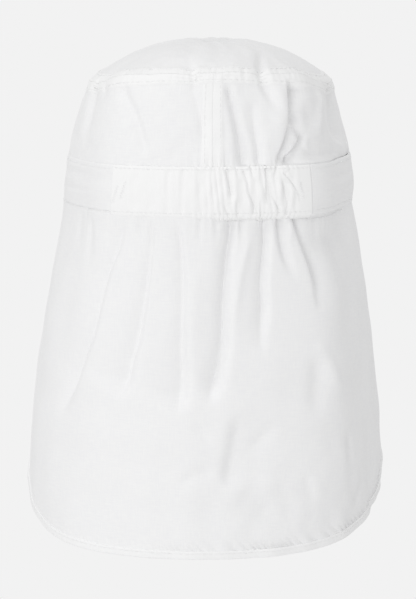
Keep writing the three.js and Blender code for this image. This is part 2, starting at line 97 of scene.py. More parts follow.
@dataclass(frozen=True)
class Crumple:
    """Smooth random relief, the same on every run.

    Attributes:
        high: Its usual height, in millimetres.
        length: The usual distance from crest to crest, in millimetres.
        seed: Picks the relief.
        stretch: How many times longer the relief is along its second direction.
    """

    high: float
    length: float
    seed: int
    stretch: float = 1.0

    def height(self, u: Grid, v: Grid) -> Grid:
        """Add up nine waves of chance lengths and directions.

        Args:
            u: Places in the first direction, in millimetres.
            v: Places in the second.

        Returns:
            The height at each place.
        """
        draw = np.random.default_rng(self.seed)
        waves = np.zeros(np.broadcast(u, v).shape)
        for _ in range(9):
            angle = draw.uniform(0, math.pi)
            wave = self.length * draw.uniform(0.7, 1.6)
            along = (u * math.cos(angle) + v / self.stretch * math.sin(angle)) * 2 * math.pi / wave
            waves += np.sin(along + draw.uniform(0, 2 * math.pi))
        return self.high * (waves / 3.0)


@dataclass(frozen=True)
class Gather:
    """Unevenly spaced gathers, with broad crests and sharp valleys.

    Attributes:
        high: In millimetres: a valley is 0.82 of this deep, and a crest 0.33 of it high.
        pitch: The usual distance between two valleys, in millimetres.
        seed: Picks the uneven spacing.
    """

    high: float
    pitch: float
    seed: int

    def height(self, u: Grid) -> Grid:
        """The height at places across the gathers.

        Args:
            u: The places, in millimetres.

        Returns:
            The height at each.
        """
        draw = np.random.default_rng(self.seed)
        shifted = u + self.pitch * 0.5 * sum(
            np.sin(u / (self.pitch * draw.uniform(0.9, 2.6)) + draw.uniform(0, 6)) for _ in range(3)
        )
        return self.high * (1.4 * np.sqrt(0.04 + np.sin(math.pi * shifted / self.pitch) ** 2) - 1.1)


PATH_PIECES = 5  # pieces of a smooth path between two of its points
STEEP = 0.7  # a leaning fold's steep side, as a share of its half width


def smooth_path(points: Grid, pieces: int) -> Grid:
    """A path through points, with rounded corners.

    Args:
        points: The points, one in each row.
        pieces: How many pieces lie between two points.

    Returns:
        The finer path's points.
    """
    if len(points) < 3:
        return points
    padded = np.vstack([2 * points[0] - points[1], points, 2 * points[-1] - points[-2]])
    out = []
    for i in range(1, len(padded) - 2):
        before, start, end, after = padded[i - 1 : i + 3]
        first, second = end - before, 2 * before - 5 * start + 4 * end - after
        third = 3 * start - before - 3 * end + after
        for share in np.arange(pieces) / pieces:
            out.append(0.5 * (2 * start + first * share + second * share**2 + third * share**3))
    out.append(points[-1])
    return np.array(out)


@dataclass(frozen=True)
class Fold:
    """One fold or crease that runs along a path on the cloth.

    Attributes:
        path: Points (turn in degrees, place up or down the cloth in millimetres).
        wide: Half width at the start and the end, in millimetres.
        high: Height at the start and the end; a valley is below 0.
        fade: Shares of the path over which the fold starts and ends.
        lean: 0 for a soft fold, alike on both sides. Above 0 the fold is steep on the side of the wearer's
            right and falls away over this many half widths on the other; below 0 the other way round.
    """

    path: tuple[tuple[float, float], ...]
    wide: tuple[float, float]
    high: tuple[float, float]
    fade: tuple[float, float]
    lean: float = 0.0

    def height(self, u: Grid, v: Grid, on_cloth: OnCloth) -> Grid:
        """The fold's height above the cloth.

        Args:
            u: Places across the cloth, in millimetres.
            v: Places up or down it.
            on_cloth: Turns the path's points into such places.

        Returns:
            The height at each place, in millimetres.
        """
        turns, places = np.array(self.path).T
        smooth = smooth_path(np.column_stack(on_cloth(np.radians(turns), places)), PATH_PIECES)
        starts = run_along(smooth)
        best = np.full(u.shape, 1e9)
        signed, along = np.zeros(u.shape), np.zeros(u.shape)
        for i, length in enumerate(np.diff(starts)):
            direction = (smooth[i + 1] - smooth[i]) / length
            du, dv = u - smooth[i, 0], v - smooth[i, 1]
            share = np.clip(du * direction[0] + dv * direction[1], 0.0, length)
            gap = np.hypot(du - share * direction[0], dv - share * direction[1])
            closer = gap < best
            side = np.sign(du * -direction[1] + dv * direction[0])
            best = np.where(closer, gap, best)
            signed = np.where(closer, gap * side, signed)
            along = np.where(closer, (starts[i] + share) / starts[-1], along)
        offset = signed / mix(*self.wide, along)
        if smooth[-1, 1] > smooth[0, 1]:
            offset = -offset
        rising = smoothstep(along, 0.0, self.fade[0]) if self.fade[0] > 0 else 1.0
        fading = 1.0 - smoothstep(along, 1.0 - self.fade[1], 1.0) if self.fade[1] > 0 else 1.0
        size = mix(*self.high, along) * rising * fading
        if not self.lean:
            return size * bell(offset)
        # The gentle side's crest is rounded, so that no sharp ridge is left where the two sides meet.
        far = np.sqrt(offset * offset + 0.02) - 0.14
        gentle = np.exp(-far / abs(self.lean))
        return size * np.where(offset * self.lean > 0, bell(offset / STEEP), gentle)


def fold_relief(folds: Sequence[Fold], u: Grid, v: Grid, on_cloth: OnCloth) -> Grid:
    """The height of several folds together, at places in millimetres on the cloth."""
    return sum((fold.height(u, v, on_cloth) for fold in folds), np.zeros(np.broadcast(u, v).shape))


# The form of the hat

# Broad rises and hollows round the hat: turn in degrees, height in millimetres, half width in degrees.
CORNERS = ((42.0, 5.0, 14.0), (-43.0, 4.0, 14.0), (0.0, -2.5, 22.0), (70.0, -2.0, 12.0))


@dataclass(frozen=True)
class HatForm:
    """The hat's main form, in millimetres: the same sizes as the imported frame's solids."""

    head_width: float = 153.0
    head_length: float = 180.0
    band_height: float = 26.0
    tip_width: float = 126.5
    tip_length: float = 152.0
    tip_seam_sides: float = 64.0
    tip_seam_ends: float = 74.0
    crown_height: float = 85.2
    crown_sway: float = 1.3
    wall_curve: float = 1.9
    tip_curve_sides: float = 2.6
    tip_curve_ends: float = 3.6
    casing_width: float = 98.0
    flap_inset: float = 1.2
    flap_drop: float = 175.0
    front_drop: float = 106.0
    flap_low_width: float = 188.0
    flap_low_length: float = 200.0
    flare: float = 2.05
    sway: float = 1.9
    top_reach: float = 163.0
    low_reach: float = 178.0
    top_turn: float = math.radians(114.0)
    low_turn: float = math.radians(105.0)

    @property
    def casing_turn(self) -> float:
        """The turn at which the casing ends, on each side of the centre back."""
        return math.asin(self.casing_width / self.head_width)

    def corner(self, turn: Grid) -> Grid:
        """How far the cloth stands out: the elastic pulls the back flat, and it turns sharply beside it."""
        humps = (size * bell((turn - math.radians(at)) / math.radians(wide)) for at, size, wide in CORNERS)
        return sum(humps, np.zeros(np.shape(turn)))

    def tip_seam(self, turn: Grid) -> Grid:
        """The height of the top panel's seam."""
        return mix(self.tip_seam_sides, self.tip_seam_ends, np.cos(turn) ** 2)

    def tip_radius(self, turn: Grid) -> Grid:
        """Roughly the distance from the middle of the top panel to its seam."""
        return np.hypot(self.tip_width / 2 * np.sin(turn), self.tip_length / 2 * np.cos(turn))

    def oval(self, width: Grid, length: Grid, turn: Grid, z: Grid, lift: Grid) -> Grid:
        """Places on an oval.

        Args:
            width: Half the oval's width.
            length: Half its length.
            turn: Where round the head.
            z: The height.
            lift: How far each place is pushed out, square to the oval.

        Returns:
            The places, in millimetres.
        """
        out_x, out_y = -length * np.sin(turn), width * np.cos(turn)
        size = np.maximum(np.hypot(out_x, out_y), 1e-6)
        x = -width * np.sin(turn) + lift * out_x / size
        y = length * np.cos(turn) + lift * out_y / size
        return np.stack(np.broadcast_arrays(x, y, z), axis=-1)

    def crown(self, turn: Grid, rise: Grid, lift: Grid) -> Grid:
        """Places on the crown.

        Args:
            turn: Where round the head.
            rise: 0 at the headband's lower edge, 1 at the top seam, 2 at the middle of the top.
            lift: How far each place stands out from the plain form.

        Returns:
            The places, in millimetres.
        """
        tilt = smoothstep(rise, 0.8, 1.2) * math.pi / 2
        lift = lift + self.corner(turn) * (1.0 - smoothstep(rise, 0.7, 1.3))
        lean = np.clip(rise, 0.0, 1.0) ** self.wall_curve
        spread = np.clip(2.0 - rise, 0.0, 1.0)
        on_wall = rise <= 1.0
        tip_w, tip_l = self.tip_width / 2, self.tip_length / 2
        width = np.where(on_wall, mix(self.head_width / 2, tip_w, lean), tip_w * spread)
        length = np.where(on_wall, mix(self.head_length / 2, tip_l, lean), tip_l * spread)
        seam = self.tip_seam(turn)
        curve = mix(self.tip_curve_sides, self.tip_curve_ends, np.cos(turn) ** 2)
        dome = self.crown_height - (self.crown_height - seam) * spread**curve
        z = np.where(on_wall, rise * seam, dome) + lift * np.sin(tilt)
        place = self.oval(width, length, turn, z, lift * np.cos(tilt))
        place[..., 0] -= self.crown_sway * smoothstep(rise, 0.7, 1.3)
        return place

    def flap_turn(self, reach: Grid, drop: Grid) -> Grid:
        """The turn of a place on the flap, reach along the cloth from the centre back."""
        share = drop / self.front_drop
        front_edge = mix(self.top_reach, self.low_reach, share)
        return reach / front_edge * mix(self.top_turn, self.low_turn, share)

    def flap(self, reach: Grid, drop: Grid, lift: Grid) -> Grid:
        """Places on the neck flap.

        Args:
            reach: Millimetres along the cloth from the centre back.
            drop: Millimetres below the headband.
            lift: How far each place stands out from the plain form.

        Returns:
            The places, in millimetres.
        """
        fallen = drop / self.flap_drop
        flare = 1.0 - np.abs(1.0 - fallen) ** self.flare
        width = mix(self.head_width / 2 - self.flap_inset, self.flap_low_width / 2, flare)
        length = mix(self.head_length / 2 - self.flap_inset, self.flap_low_length / 2, flare)
        turn = self.flap_turn(reach, drop)
        place = self.oval(width, length, turn, -drop, lift + self.corner(turn) * mix(1.0, 0.6, fallen))
        place[..., 0] += self.sway * smoothstep(fallen, 0.0, 0.5)
        return place


FORM = HatForm()
ROUND_CROWN = 80.0  # millimetres of crown for one radian of turn
ROUND_FLAP = 88.0
# The gathers on both sides of the casing's seams follow the same draws.
BACK_SEED = 11
FINE_GATHERS = Gather(0.42, 2.9, BACK_SEED)
BROAD_GATHERS = Gather(0.6, 7.4, BACK_SEED + 1)


def casing_gathers(around: Grid, away: Grid) -> Grid:
    """The gathers that the elastic draws in the cloth above and below the casing.

    Args:
        around: Millimetres round the hat from the centre back.
        away: Millimetres above or below the casing.

    Returns:
        The height at each place.
    """
    inside = 1.0 - smoothstep(np.abs(around + 0.8), 42.0, 50.0)
    strength = mix(0.3, 1.0, smoothstep(around, -22.0, 12.0)) * inside
    away = np.maximum(away, 0.0)
    fine = FINE_GATHERS.height(around) * np.exp(-((away / 3.4) ** 1.4))
    broad = BROAD_GATHERS.height(around) * np.exp(-away / 8.0)
    return strength * (fine + broad)


# Meshes


def grid_mesh(
    name: str, us: Grid, vs: Grid, surface: Surface, uv: Surface, layers: Surface | None = None
) -> Piece:
    """A sheet of quads laid on a surface.

    Args:
        name: The new object's name.
        us: Places across, one for each column.
        vs: Places up, one for each row.
        surface: Gives places in millimetres for arrays of u and v.
        uv: Gives cloth coordinates in millimetres for the same arrays.
        layers: Gives, for the same arrays, 1 where more cloth lies below and 0 where there is one layer. The
            material paints the cloth lighter there: partly the doubled cloth's own whiteness, partly a
            painted highlight.

    Returns:
        The object, in metres, with a UV map in cloth millimetres over UV_MM.
    """
    bm = bmesh.new()
    bmesh.ops.create_grid(bm, x_segments=len(us) - 1, y_segments=len(vs) - 1, size=1.0)
    corner = np.array([vert.co[:2] for vert in bm.verts])
    column = np.rint((corner[:, 0] + 1) / 2 * (len(us) - 1)).astype(int)
    row = np.rint((corner[:, 1] + 1) / 2 * (len(vs) - 1)).astype(int)
    places = surface(us[column], vs[row]) * MM
    cloth = uv(us[column], vs[row]) / UV_MM
    lined_and_lit = layers(us[column], vs[row]) if layers else np.zeros(len(places))
    below = bm.verts.layers.float.new("layers")
    for vert, place, share in zip(bm.verts, places, lined_and_lit):
        vert.co = place
        vert[below] = share
    layer = bm.loops.layers.uv.new("cloth")
    for face in bm.faces:
        face.smooth = True
        for loop in face.loops:
            loop[layer].uv = cloth[loop.vert.index]
    return finished(name, bm)


def flat_uv(wide: float, tall: float) -> Surface:
    """Cloth coordinates that give one unit of u and of v these millimetres of cloth."""
    return lambda u, v: np.stack([u * wide, v * tall], axis=-1)


def finished(name: str, bm: bmesh.types.BMesh) -> Piece:
    """Turn a bmesh into an object of the scene.

    Args:
        name: The new object's name.
        bm: The bmesh, which is freed.

    Returns:
        The object.
    """
    mesh = bpy.data.meshes.new(name)
    bm.to_mesh(mesh)
    bm.free()
    piece = bpy.data.objects.new(name, mesh)
    bpy.context.scene.collection.objects.link(piece)
    return piece


def mend(piece: Piece, merge: float = 0.0) -> None:
    """Turn a piece's faces outwards, and close it first where its edges meet.

    Args:
        piece: The object.
        merge: Points this near are merged, in millimetres, and holes filled. At 0 the piece is a sheet that
            stays open, and its middle faces up.
    """
    bm = bmesh.new()
    bm.from_mesh(piece.data)
    if merge:
        bmesh.ops.remove_doubles(bm, verts=bm.verts, dist=merge * MM)
        bmesh.ops.holes_fill(bm, edges=[edge for edge in bm.edges if edge.is_boundary], sides=0)
    bmesh.ops.recalc_face_normals(bm, faces=bm.faces)
    middle = min(bm.faces, key=lambda face: face.calc_center_median().xy.length)
    if not merge and middle.normal.z < 0:
        bmesh.ops.reverse_faces(bm, faces=bm.faces)
    for face in bm.faces:
        face.smooth = True
    bm.to_mesh(piece.data)
    bm.free()


def thicken(piece: Piece, thickness: float) -> None:
    """Give a sheet its thickness in millimetres, behind its face."""
    wall = piece.modifiers.new("cloth thickness", "SOLIDIFY")
    wall.thickness = thickness * MM
    wall.offset = -1.0
    wall.use_even_offset = False
    wall.use_rim = True


def outward(surface: Surface, u: Grid, v: Grid, step_u: float, step_v: float) -> Grid:
    """Unit directions square to a surface, on its outer side.

    Args:
        surface: Gives places for arrays of u and v.
        u: Places across.
        v: Places up.
        step_u: How far the surface is felt to each side, in the units of u.
        step_v: And up and down, in those of v.

    Returns:
        A direction for each place.
    """
    across = surface(u + step_u, v) - surface(u - step_u, v)
    up = surface(u, v + step_v) - surface(u, v - step_v)
    square = np.cross(across, up)
    return square / np.maximum(np.linalg.norm(square, axis=1, keepdims=True), 1e-9)


def on_surface(surface: Surface, u: Grid, v: Grid, step_u: float, step_v: float) -> Row:
    """A row on a surface: its places, and the outward directions as outward() finds them."""
    u, v = np.broadcast_arrays(np.asarray(u, float), np.asarray(v, float))
    return surface(u, v), outward(surface, u, v, step_u, step_v)


# Stitches

STITCH_PITCH = 3.0  # from one needle hole to the next, in millimetres
DENT_HALF = 0.7  # half width of the dent that a stitched row leaves


def stitch_dent(off: Grid, along: Grid, deep: float, swing: float) -> Grid:
    """The dent of a stitched row, deep on average and swing more at each needle hole."""
    return bell(off / DENT_HALF) * (deep + swing * np.cos(along * 2 * math.pi / STITCH_PITCH))


class Stitch(Enum):
    """The kinds of stitch on the hat: (length, gap, thread radius), in millimetres."""

    TOPSTITCH = (2.3, 0.7, 0.19)
    EDGE = (2.0, 0.6, 0.2)
    BARTACK = (2.4, 0.0, 0.16)


@dataclass
class StitchRow:
    """A row of stitches along a line on a surface.

    Attributes:
        kind: Which stitch.
        sunk: How far its threads are sunk into the cloth, in millimetres.
    """

    kind: Stitch = Stitch.TOPSTITCH
    sunk: float = 0.02

    def lay(self, bm: bmesh.types.BMesh, places: Grid, normals: Grid) -> None:
        """Put stitches along a line of places into a bmesh.

        Args:
            bm: The bmesh that takes them.
            places: Points of the line, in millimetres.
            normals: The cloth's outward direction at each point.
        """
        length, gap, _ = self.kind.value
        run = run_along(places)
        count = int(run[-1] // (length + gap))
        for i in range(count):
            start = (i + 0.5) * run[-1] / count - length / 2
            ends = (self._at(run, places, start), self._at(run, places, start + length))
            self.stitch(bm, *ends, self._at(run, normals, start + length / 2).normalized())

    def _at(self, run: Grid, values: Grid, where: float) -> Vector:
        """The value at a distance along the line."""
        return Vector([np.interp(where, run, values[:, k]) for k in range(3)])

    def stitch(self, bm: bmesh.types.BMesh, start: Vector, end: Vector, normal: Vector) -> None:
        """Put in one stitch: a small spindle of thread that lies in its dent.

        Args:
            bm: The bmesh that takes it.
            start: Where it comes up, in millimetres.
            end: Where it goes down.
            normal: The cloth's outward direction.
        """
        radius = self.kind.value[2]
        along = (end - start).normalized()
        side = normal.cross(along).normalized()
        up = along.cross(side)
        turn = Matrix((along, side, up)).transposed().to_4x4()
        middle = (start + end) / 2 + up * (radius * 0.4 - self.sunk)
        size = Matrix.Diagonal(((end - start).length / 2 * 1.06, radius, radius * 0.8, 1.0))
        place = Matrix.Translation(middle * MM) @ turn @ Matrix.Scale(MM, 4) @ size
        lie = Matrix.Rotation(math.pi / 2, 4, "Y")
        bmesh.ops.create_uvsphere(bm, u_segments=6, v_segments=4, radius=1.0, matrix=place @ lie)


def stitch_piece(name: str, rows: Sequence[Row], kind: Stitch) -> Piece:
    """One object that holds several rows of stitches.

    Args:
        name: The new object's name.
        rows: The rows, in millimetres.
        kind: Which stitch.

    Returns:
        The object.
    """
    whole = bmesh.new()
    for places, normals in rows:
        row = bmesh.new()
        StitchRow(kind).lay(row, places, normals)
        for face in row.faces:
            face.smooth = True
        mesh = bpy.data.meshes.new("row")
        row.to_mesh(mesh)
        row.free()
        whole.from_mesh(mesh)
        bpy.data.meshes.remove(mesh)
    return finished(name, whole)


# Finishes


def linear(colour: str) -> tuple[float, float, float, float]:
    """An sRGB hex colour as linear light."""
    parts = [int(colour[i : i + 2], 16) / 255 for i in (1, 3, 5)]
    return (*(p / 12.92 if p <= 0.04045 else ((p + 0.055) / 1.055) ** 2.4 for p in parts), 1.0)


def add_node(
    tree: bpy.types.NodeTree, kind: str, settings: dict[str, str] | None = None, **links: object
) -> bpy.types.Node:
    """Add a node with its settings and its inputs.

    Args:
        tree: The node tree.
        kind: The node's type name, without its usual start.
        settings: Properties to set on the node.
        links: Input names with _ for a space, or i and a number for an input by its place, each with
            a value or an output socket.

    Returns:
        The new node.
    """
    node = tree.nodes.new("ShaderNode" + kind)
    for name, value in (settings or {}).items():
        setattr(node, name, value)
    for name, value in links.items():
        socket = node.inputs[int(name[1:])] if name[1:].isdigit() else node.inputs[name.replace("_", " ")]
        if isinstance(value, bpy.types.NodeSocket):
            tree.links.new(value, socket)
        else:
            socket.default_value = value
    return node


def new_material(name: str) -> tuple[Cloth, bpy.types.NodeTree]:
    """An empty node material and its tree."""
    material = bpy.data.materials.new(name)
    material.use_nodes = True
    material.node_tree.nodes.clear()
    return material, material.node_tree


@dataclass(frozen=True)
class CottonFinish:
    """Plain-weave cotton poplin, washed and worn soft: matt, with threads, slubs and small creases.

    Attributes:
        name: The material's name.
        colour: The cloth between its thin slubs.
        shade: The cloth in its thin slubs.
        lined_and_lit: The cloth where more layers lie below it: lighter, partly because less light goes
            through and partly as a painted highlight on the seam strips, the casing and the hem.
        thread: Thread spacing in millimetres. Real poplin has about 0.35, drawn about twice as coarse so
            that the weave shows at this picture's size.
        slubs: How many slubs UV_MM of cloth has along and across a thread: each is 7 mm long and 0.6 mm wide.
        creases: How many fine creases UV_MM of cloth has, 11 mm apart.
        weave: Height of the threads, in millimetres.
        crease: Height of the fine creases, in millimetres.
        roughness: Of the cloth.
    """

    name: str
    colour: str = "#f4f4f4"
    shade: str = "#f1f1f2"
    lined_and_lit: str = "#f6f6f6"
    thread: float = 0.7
    slubs: tuple[float, float] = (14.0, 160.0)
    creases: float = 9.0
    weave: float = 0.015
    crease: float = 0.3
    roughness: float = 0.9

    def build(self) -> Cloth:
        """Make the material."""
        material, tree = new_material(self.name)
        cloth = add_node(tree, "UVMap", {"uv_map": "cloth"}).outputs["UV"]
        apart = add_node(tree, "SeparateXYZ", Vector=cloth)
        waves, fibres = [], []
        for axis, scale in (("X", self.slubs), ("Y", self.slubs[::-1])):
            turns = math.pi * UV_MM / self.thread
            phase = add_node(tree, "Math", {"operation": "MULTIPLY"}, i0=apart.outputs[axis], i1=turns)
            waves.append(add_node(tree, "Math", {"operation": "SINE"}, i0=phase.outputs[0]).outputs[0])
            spun = add_node(tree, "Mapping", Vector=cloth, Scale=(*scale, 1.0))
            noise = add_node(tree, "TexNoise", Vector=spun.outputs[0], Scale=1.0, Detail=2.0)
            fibres.append(noise.outputs[0])
        # Over and under: the product of the two waves is far from 0 where a weft crosses a warp thread.
        crossing = add_node(tree, "Math", {"operation": "MULTIPLY"}, i0=waves[0], i1=waves[1])
        weave = add_node(tree, "Math", {"operation": "ABSOLUTE"}, i0=crossing.outputs[0])
        fuzz = add_node(tree, "Math", {"operation": "ADD"}, i0=fibres[0], i1=fibres[1])
        creases = add_node(tree, "TexNoise", Vector=cloth, Scale=self.creases, Detail=4.0, Roughness=0.55)
        # Thin and thick places of the thread: a slightly uneven white, close to.
        tone = add_node(tree, "MapRange", i0=fuzz.outputs[0], i1=0.8, i2=1.2)
        colour = tone.outputs[0], linear(self.shade), linear(self.colour)
        # Where more layers lie below, the colour goes lighter: partly the doubled cloth's own whiteness,
        # partly a painted highlight on the seam strips, the casing and the hem.
        below = add_node(tree, "Attribute", {"attribute_name": "layers"}).outputs["Fac"]
        for share, low, high in (colour, (below, None, linear(self.lined_and_lit))):
            low = low or blend.outputs[2]
            blend = add_node(tree, "Mix", {"data_type": "RGBA"}, i0=share, i6=low, i7=high)
        # Three reliefs on each other: fine creases, the thread's thick places, and the weave.
        reliefs = ((0.6, self.crease, creases), (0.5, self.weave, fuzz), (0.5, self.weave, weave))
        bump = None
        for strength, high, source in reliefs:
            under = {"Normal": bump.outputs[0]} if bump else {}
            bump = add_node(
                tree, "Bump", Strength=strength, Distance=high * MM, Height=source.outputs[0], **under
            )
        # A little sheen, as loose fibre ends give cotton a pale edge.
        cotton = add_node(
            tree, "BsdfPrincipled", Base_Color=blend.outputs[2], Roughness=self.roughness, IOR=1.45,
            Specular_IOR_Level=0.25, Sheen_Weight=0.15, Sheen_Roughness=0.5, Normal=bump.outputs[0],
        )
        add_node(tree, "OutputMaterial", Surface=cotton.outputs[0])
        return material


@dataclass(frozen=True)
class ThreadFinish:
    """Spun polyester sewing thread, dyed white: smoother than the cloth, with a soft gloss.

    Attributes:
        name: The material's name.
        colour: The thread's strands, painted as lit.
        shade: Painted shade between its strands.
        strands: Strands in a metre: they lie 0.33 mm apart.
        ply: Height of the strands, in millimetres.
    """

    name: str = "white sewing thread"
    colour: str = "#f7f7f7"
    shade: str = "#ececed"
    strands: float = 3000.0
    ply: float = 0.05

    def build(self) -> Cloth:
        """Make the material."""
        material, tree = new_material(self.name)
        place = add_node(tree, "TexCoord").outputs["Object"]
        strands = add_node(tree, "TexNoise", Vector=place, Scale=self.strands, Detail=1.0).outputs[0]
        ply = add_node(tree, "Bump", Strength=0.4, Distance=self.ply * MM, Height=strands)
        # Painted shade: the colour goes darker where the strands' bump is low, between the strands.
        tone = add_node(
            tree, "Mix", {"data_type": "RGBA"}, i0=strands, i6=linear(self.shade), i7=linear(self.colour)
        )
        thread = add_node(
            tree, "BsdfPrincipled", Base_Color=tone.outputs[2], Roughness=0.6, IOR=1.5, Sheen_Weight=0.1,
            Normal=ply.outputs[0],
        )
        add_node(tree, "OutputMaterial", Surface=thread.outputs[0])
        return material


def dress(piece: Piece, material: Cloth, slot: str, *nodes: str) -> Piece:
    """Give a piece its finish, its body and the nodes that it stands for.

    Args:
        piece: The object.
        material: Its finish.
        slot: The record's material slot; not used.
        nodes: The frame's nodes that it replaces, if any.

    Returns:
        The same object.
    """
    piece.data.materials.clear()
    piece.data.materials.append(material)
    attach(piece, "root")
    if nodes:
        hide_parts(*nodes)
    return piece


# Crown

CROWN_FOLDS = (
    Fold(((-44, 65), (-35.5, 53.5), (-30, 40), (-27, 29)), (2.8, 3), (-2.2, -2.2), (0.1, 0.2)),
    Fold(((-60, 64), (-51, 57)), (2.2, 2.6), (-1, -0.6), (0.1, 0.6)),
    Fold(((-75, 66), (-67, 50.5), (-63, 34)), (5, 6), (-2.6, -2.4), (0.1, 0.4)),
    Fold(((-15.5, 91), (-10, 73), (-9, 63.5), (-6, 53.5), (-4.5, 43.5), (-4, 29.5)),
         (4, 4.4), (-2.2, -2.4), (0.3, 0.2), 1.2),
    Fold(((-22, 70), (-18.5, 50), (-15, 30)), (7, 8), (0.8, 0.8), (0.3, 0.3)),
    Fold(((6.5, 69), (8, 60.5), (10, 52), (11.5, 42), (12.5, 34), (13, 22)),
         (2, 3.6), (-3.4, -5), (0.12, 0.18)),
    Fold(((18, 60), (18, 50.5), (19, 40.5), (19.5, 32), (19, 22)), (4, 3), (-2.6, -4.4), (0.4, 0.2), 1.2),
    Fold(((38, 99), (24, 77), (24, 68), (26, 62), (29, 54), (32, 47)),
         (3.4, 3.4), (-2.2, -3.4), (0.3, 0.4)),
    Fold(((30, 69), (30, 59), (29, 48), (25.5, 38)), (5, 4), (1.6, 1.4), (0.3, 0.4)),
    Fold(((37, 68), (35.5, 59.5), (34.5, 51.5), (33, 44), (30.5, 36.5), (26, 25)),
         (2.6, 2.4), (-8, -4.4), (0.08, 0.16), -2.2),
    Fold(((35.5, 53), (37.5, 46), (40, 39.5), (42, 36)), (3, 3.6), (-3.6, -4.4), (0.3, 0.2)),
    Fold(((41, 38.5), (36.5, 34.5), (32, 29.5), (28.5, 24.5)),
         (2.2, 1.8), (-4.6, -3.6), (0.15, 0.25), -1.4),
    Fold(((35, 37.5), (30.5, 31)), (1.8, 1.6), (1, 1), (0.3, 0.2)),
    Fold(((55, 64.5), (55.5, 55), (52, 45.5), (47, 39)), (4, 4), (2.4, 1.8), (0.2, 0.3)),
    Fold(((82, 66), (78, 52), (74, 32)), (8, 9), (-5.5, -6), (0.2, 0.2)),
    Fold(((45.5, 60), (45, 50), (44.5, 38), (44, 26)), (11, 13), (-3.6, -5), (0.3, 0.12), -1.8),
    Fold(((43, 90.5), (45.5, 80), (47, 68.5)), (2.4, 2), (-0.9, -0.9), (0.4, 0.2)),
    Fold(((14.5, 79.5), (14.5, 66.5)), (1.6, 1.6), (-0.3, -0.3), (0.3, 0.3)),
    Fold(((-36, 80), (-30, 70), (-30, 60)), (2.4, 2.4), (-0.6, -0.6), (0.4, 0.4)),
)

SEAM_STRIP = 5.0  # half width of the flattened seam allowances, in millimetres
TOPSTITCH_AT = 3.7  # from a seam to its row of topstitching
BACK_STRIP = 6.0
BACK_STITCH_AT = 4.7
FOLDS_END = (1.35, 1.6)  # the turns over which the crown's folds end: the front is smooth
FELT = (0.004, 0.006)  # steps in turn and rise by which a row of stitches feels the crown
TIP_UV = (63.0, 76.0)  # half the top panel's cloth across and along, in millimetres


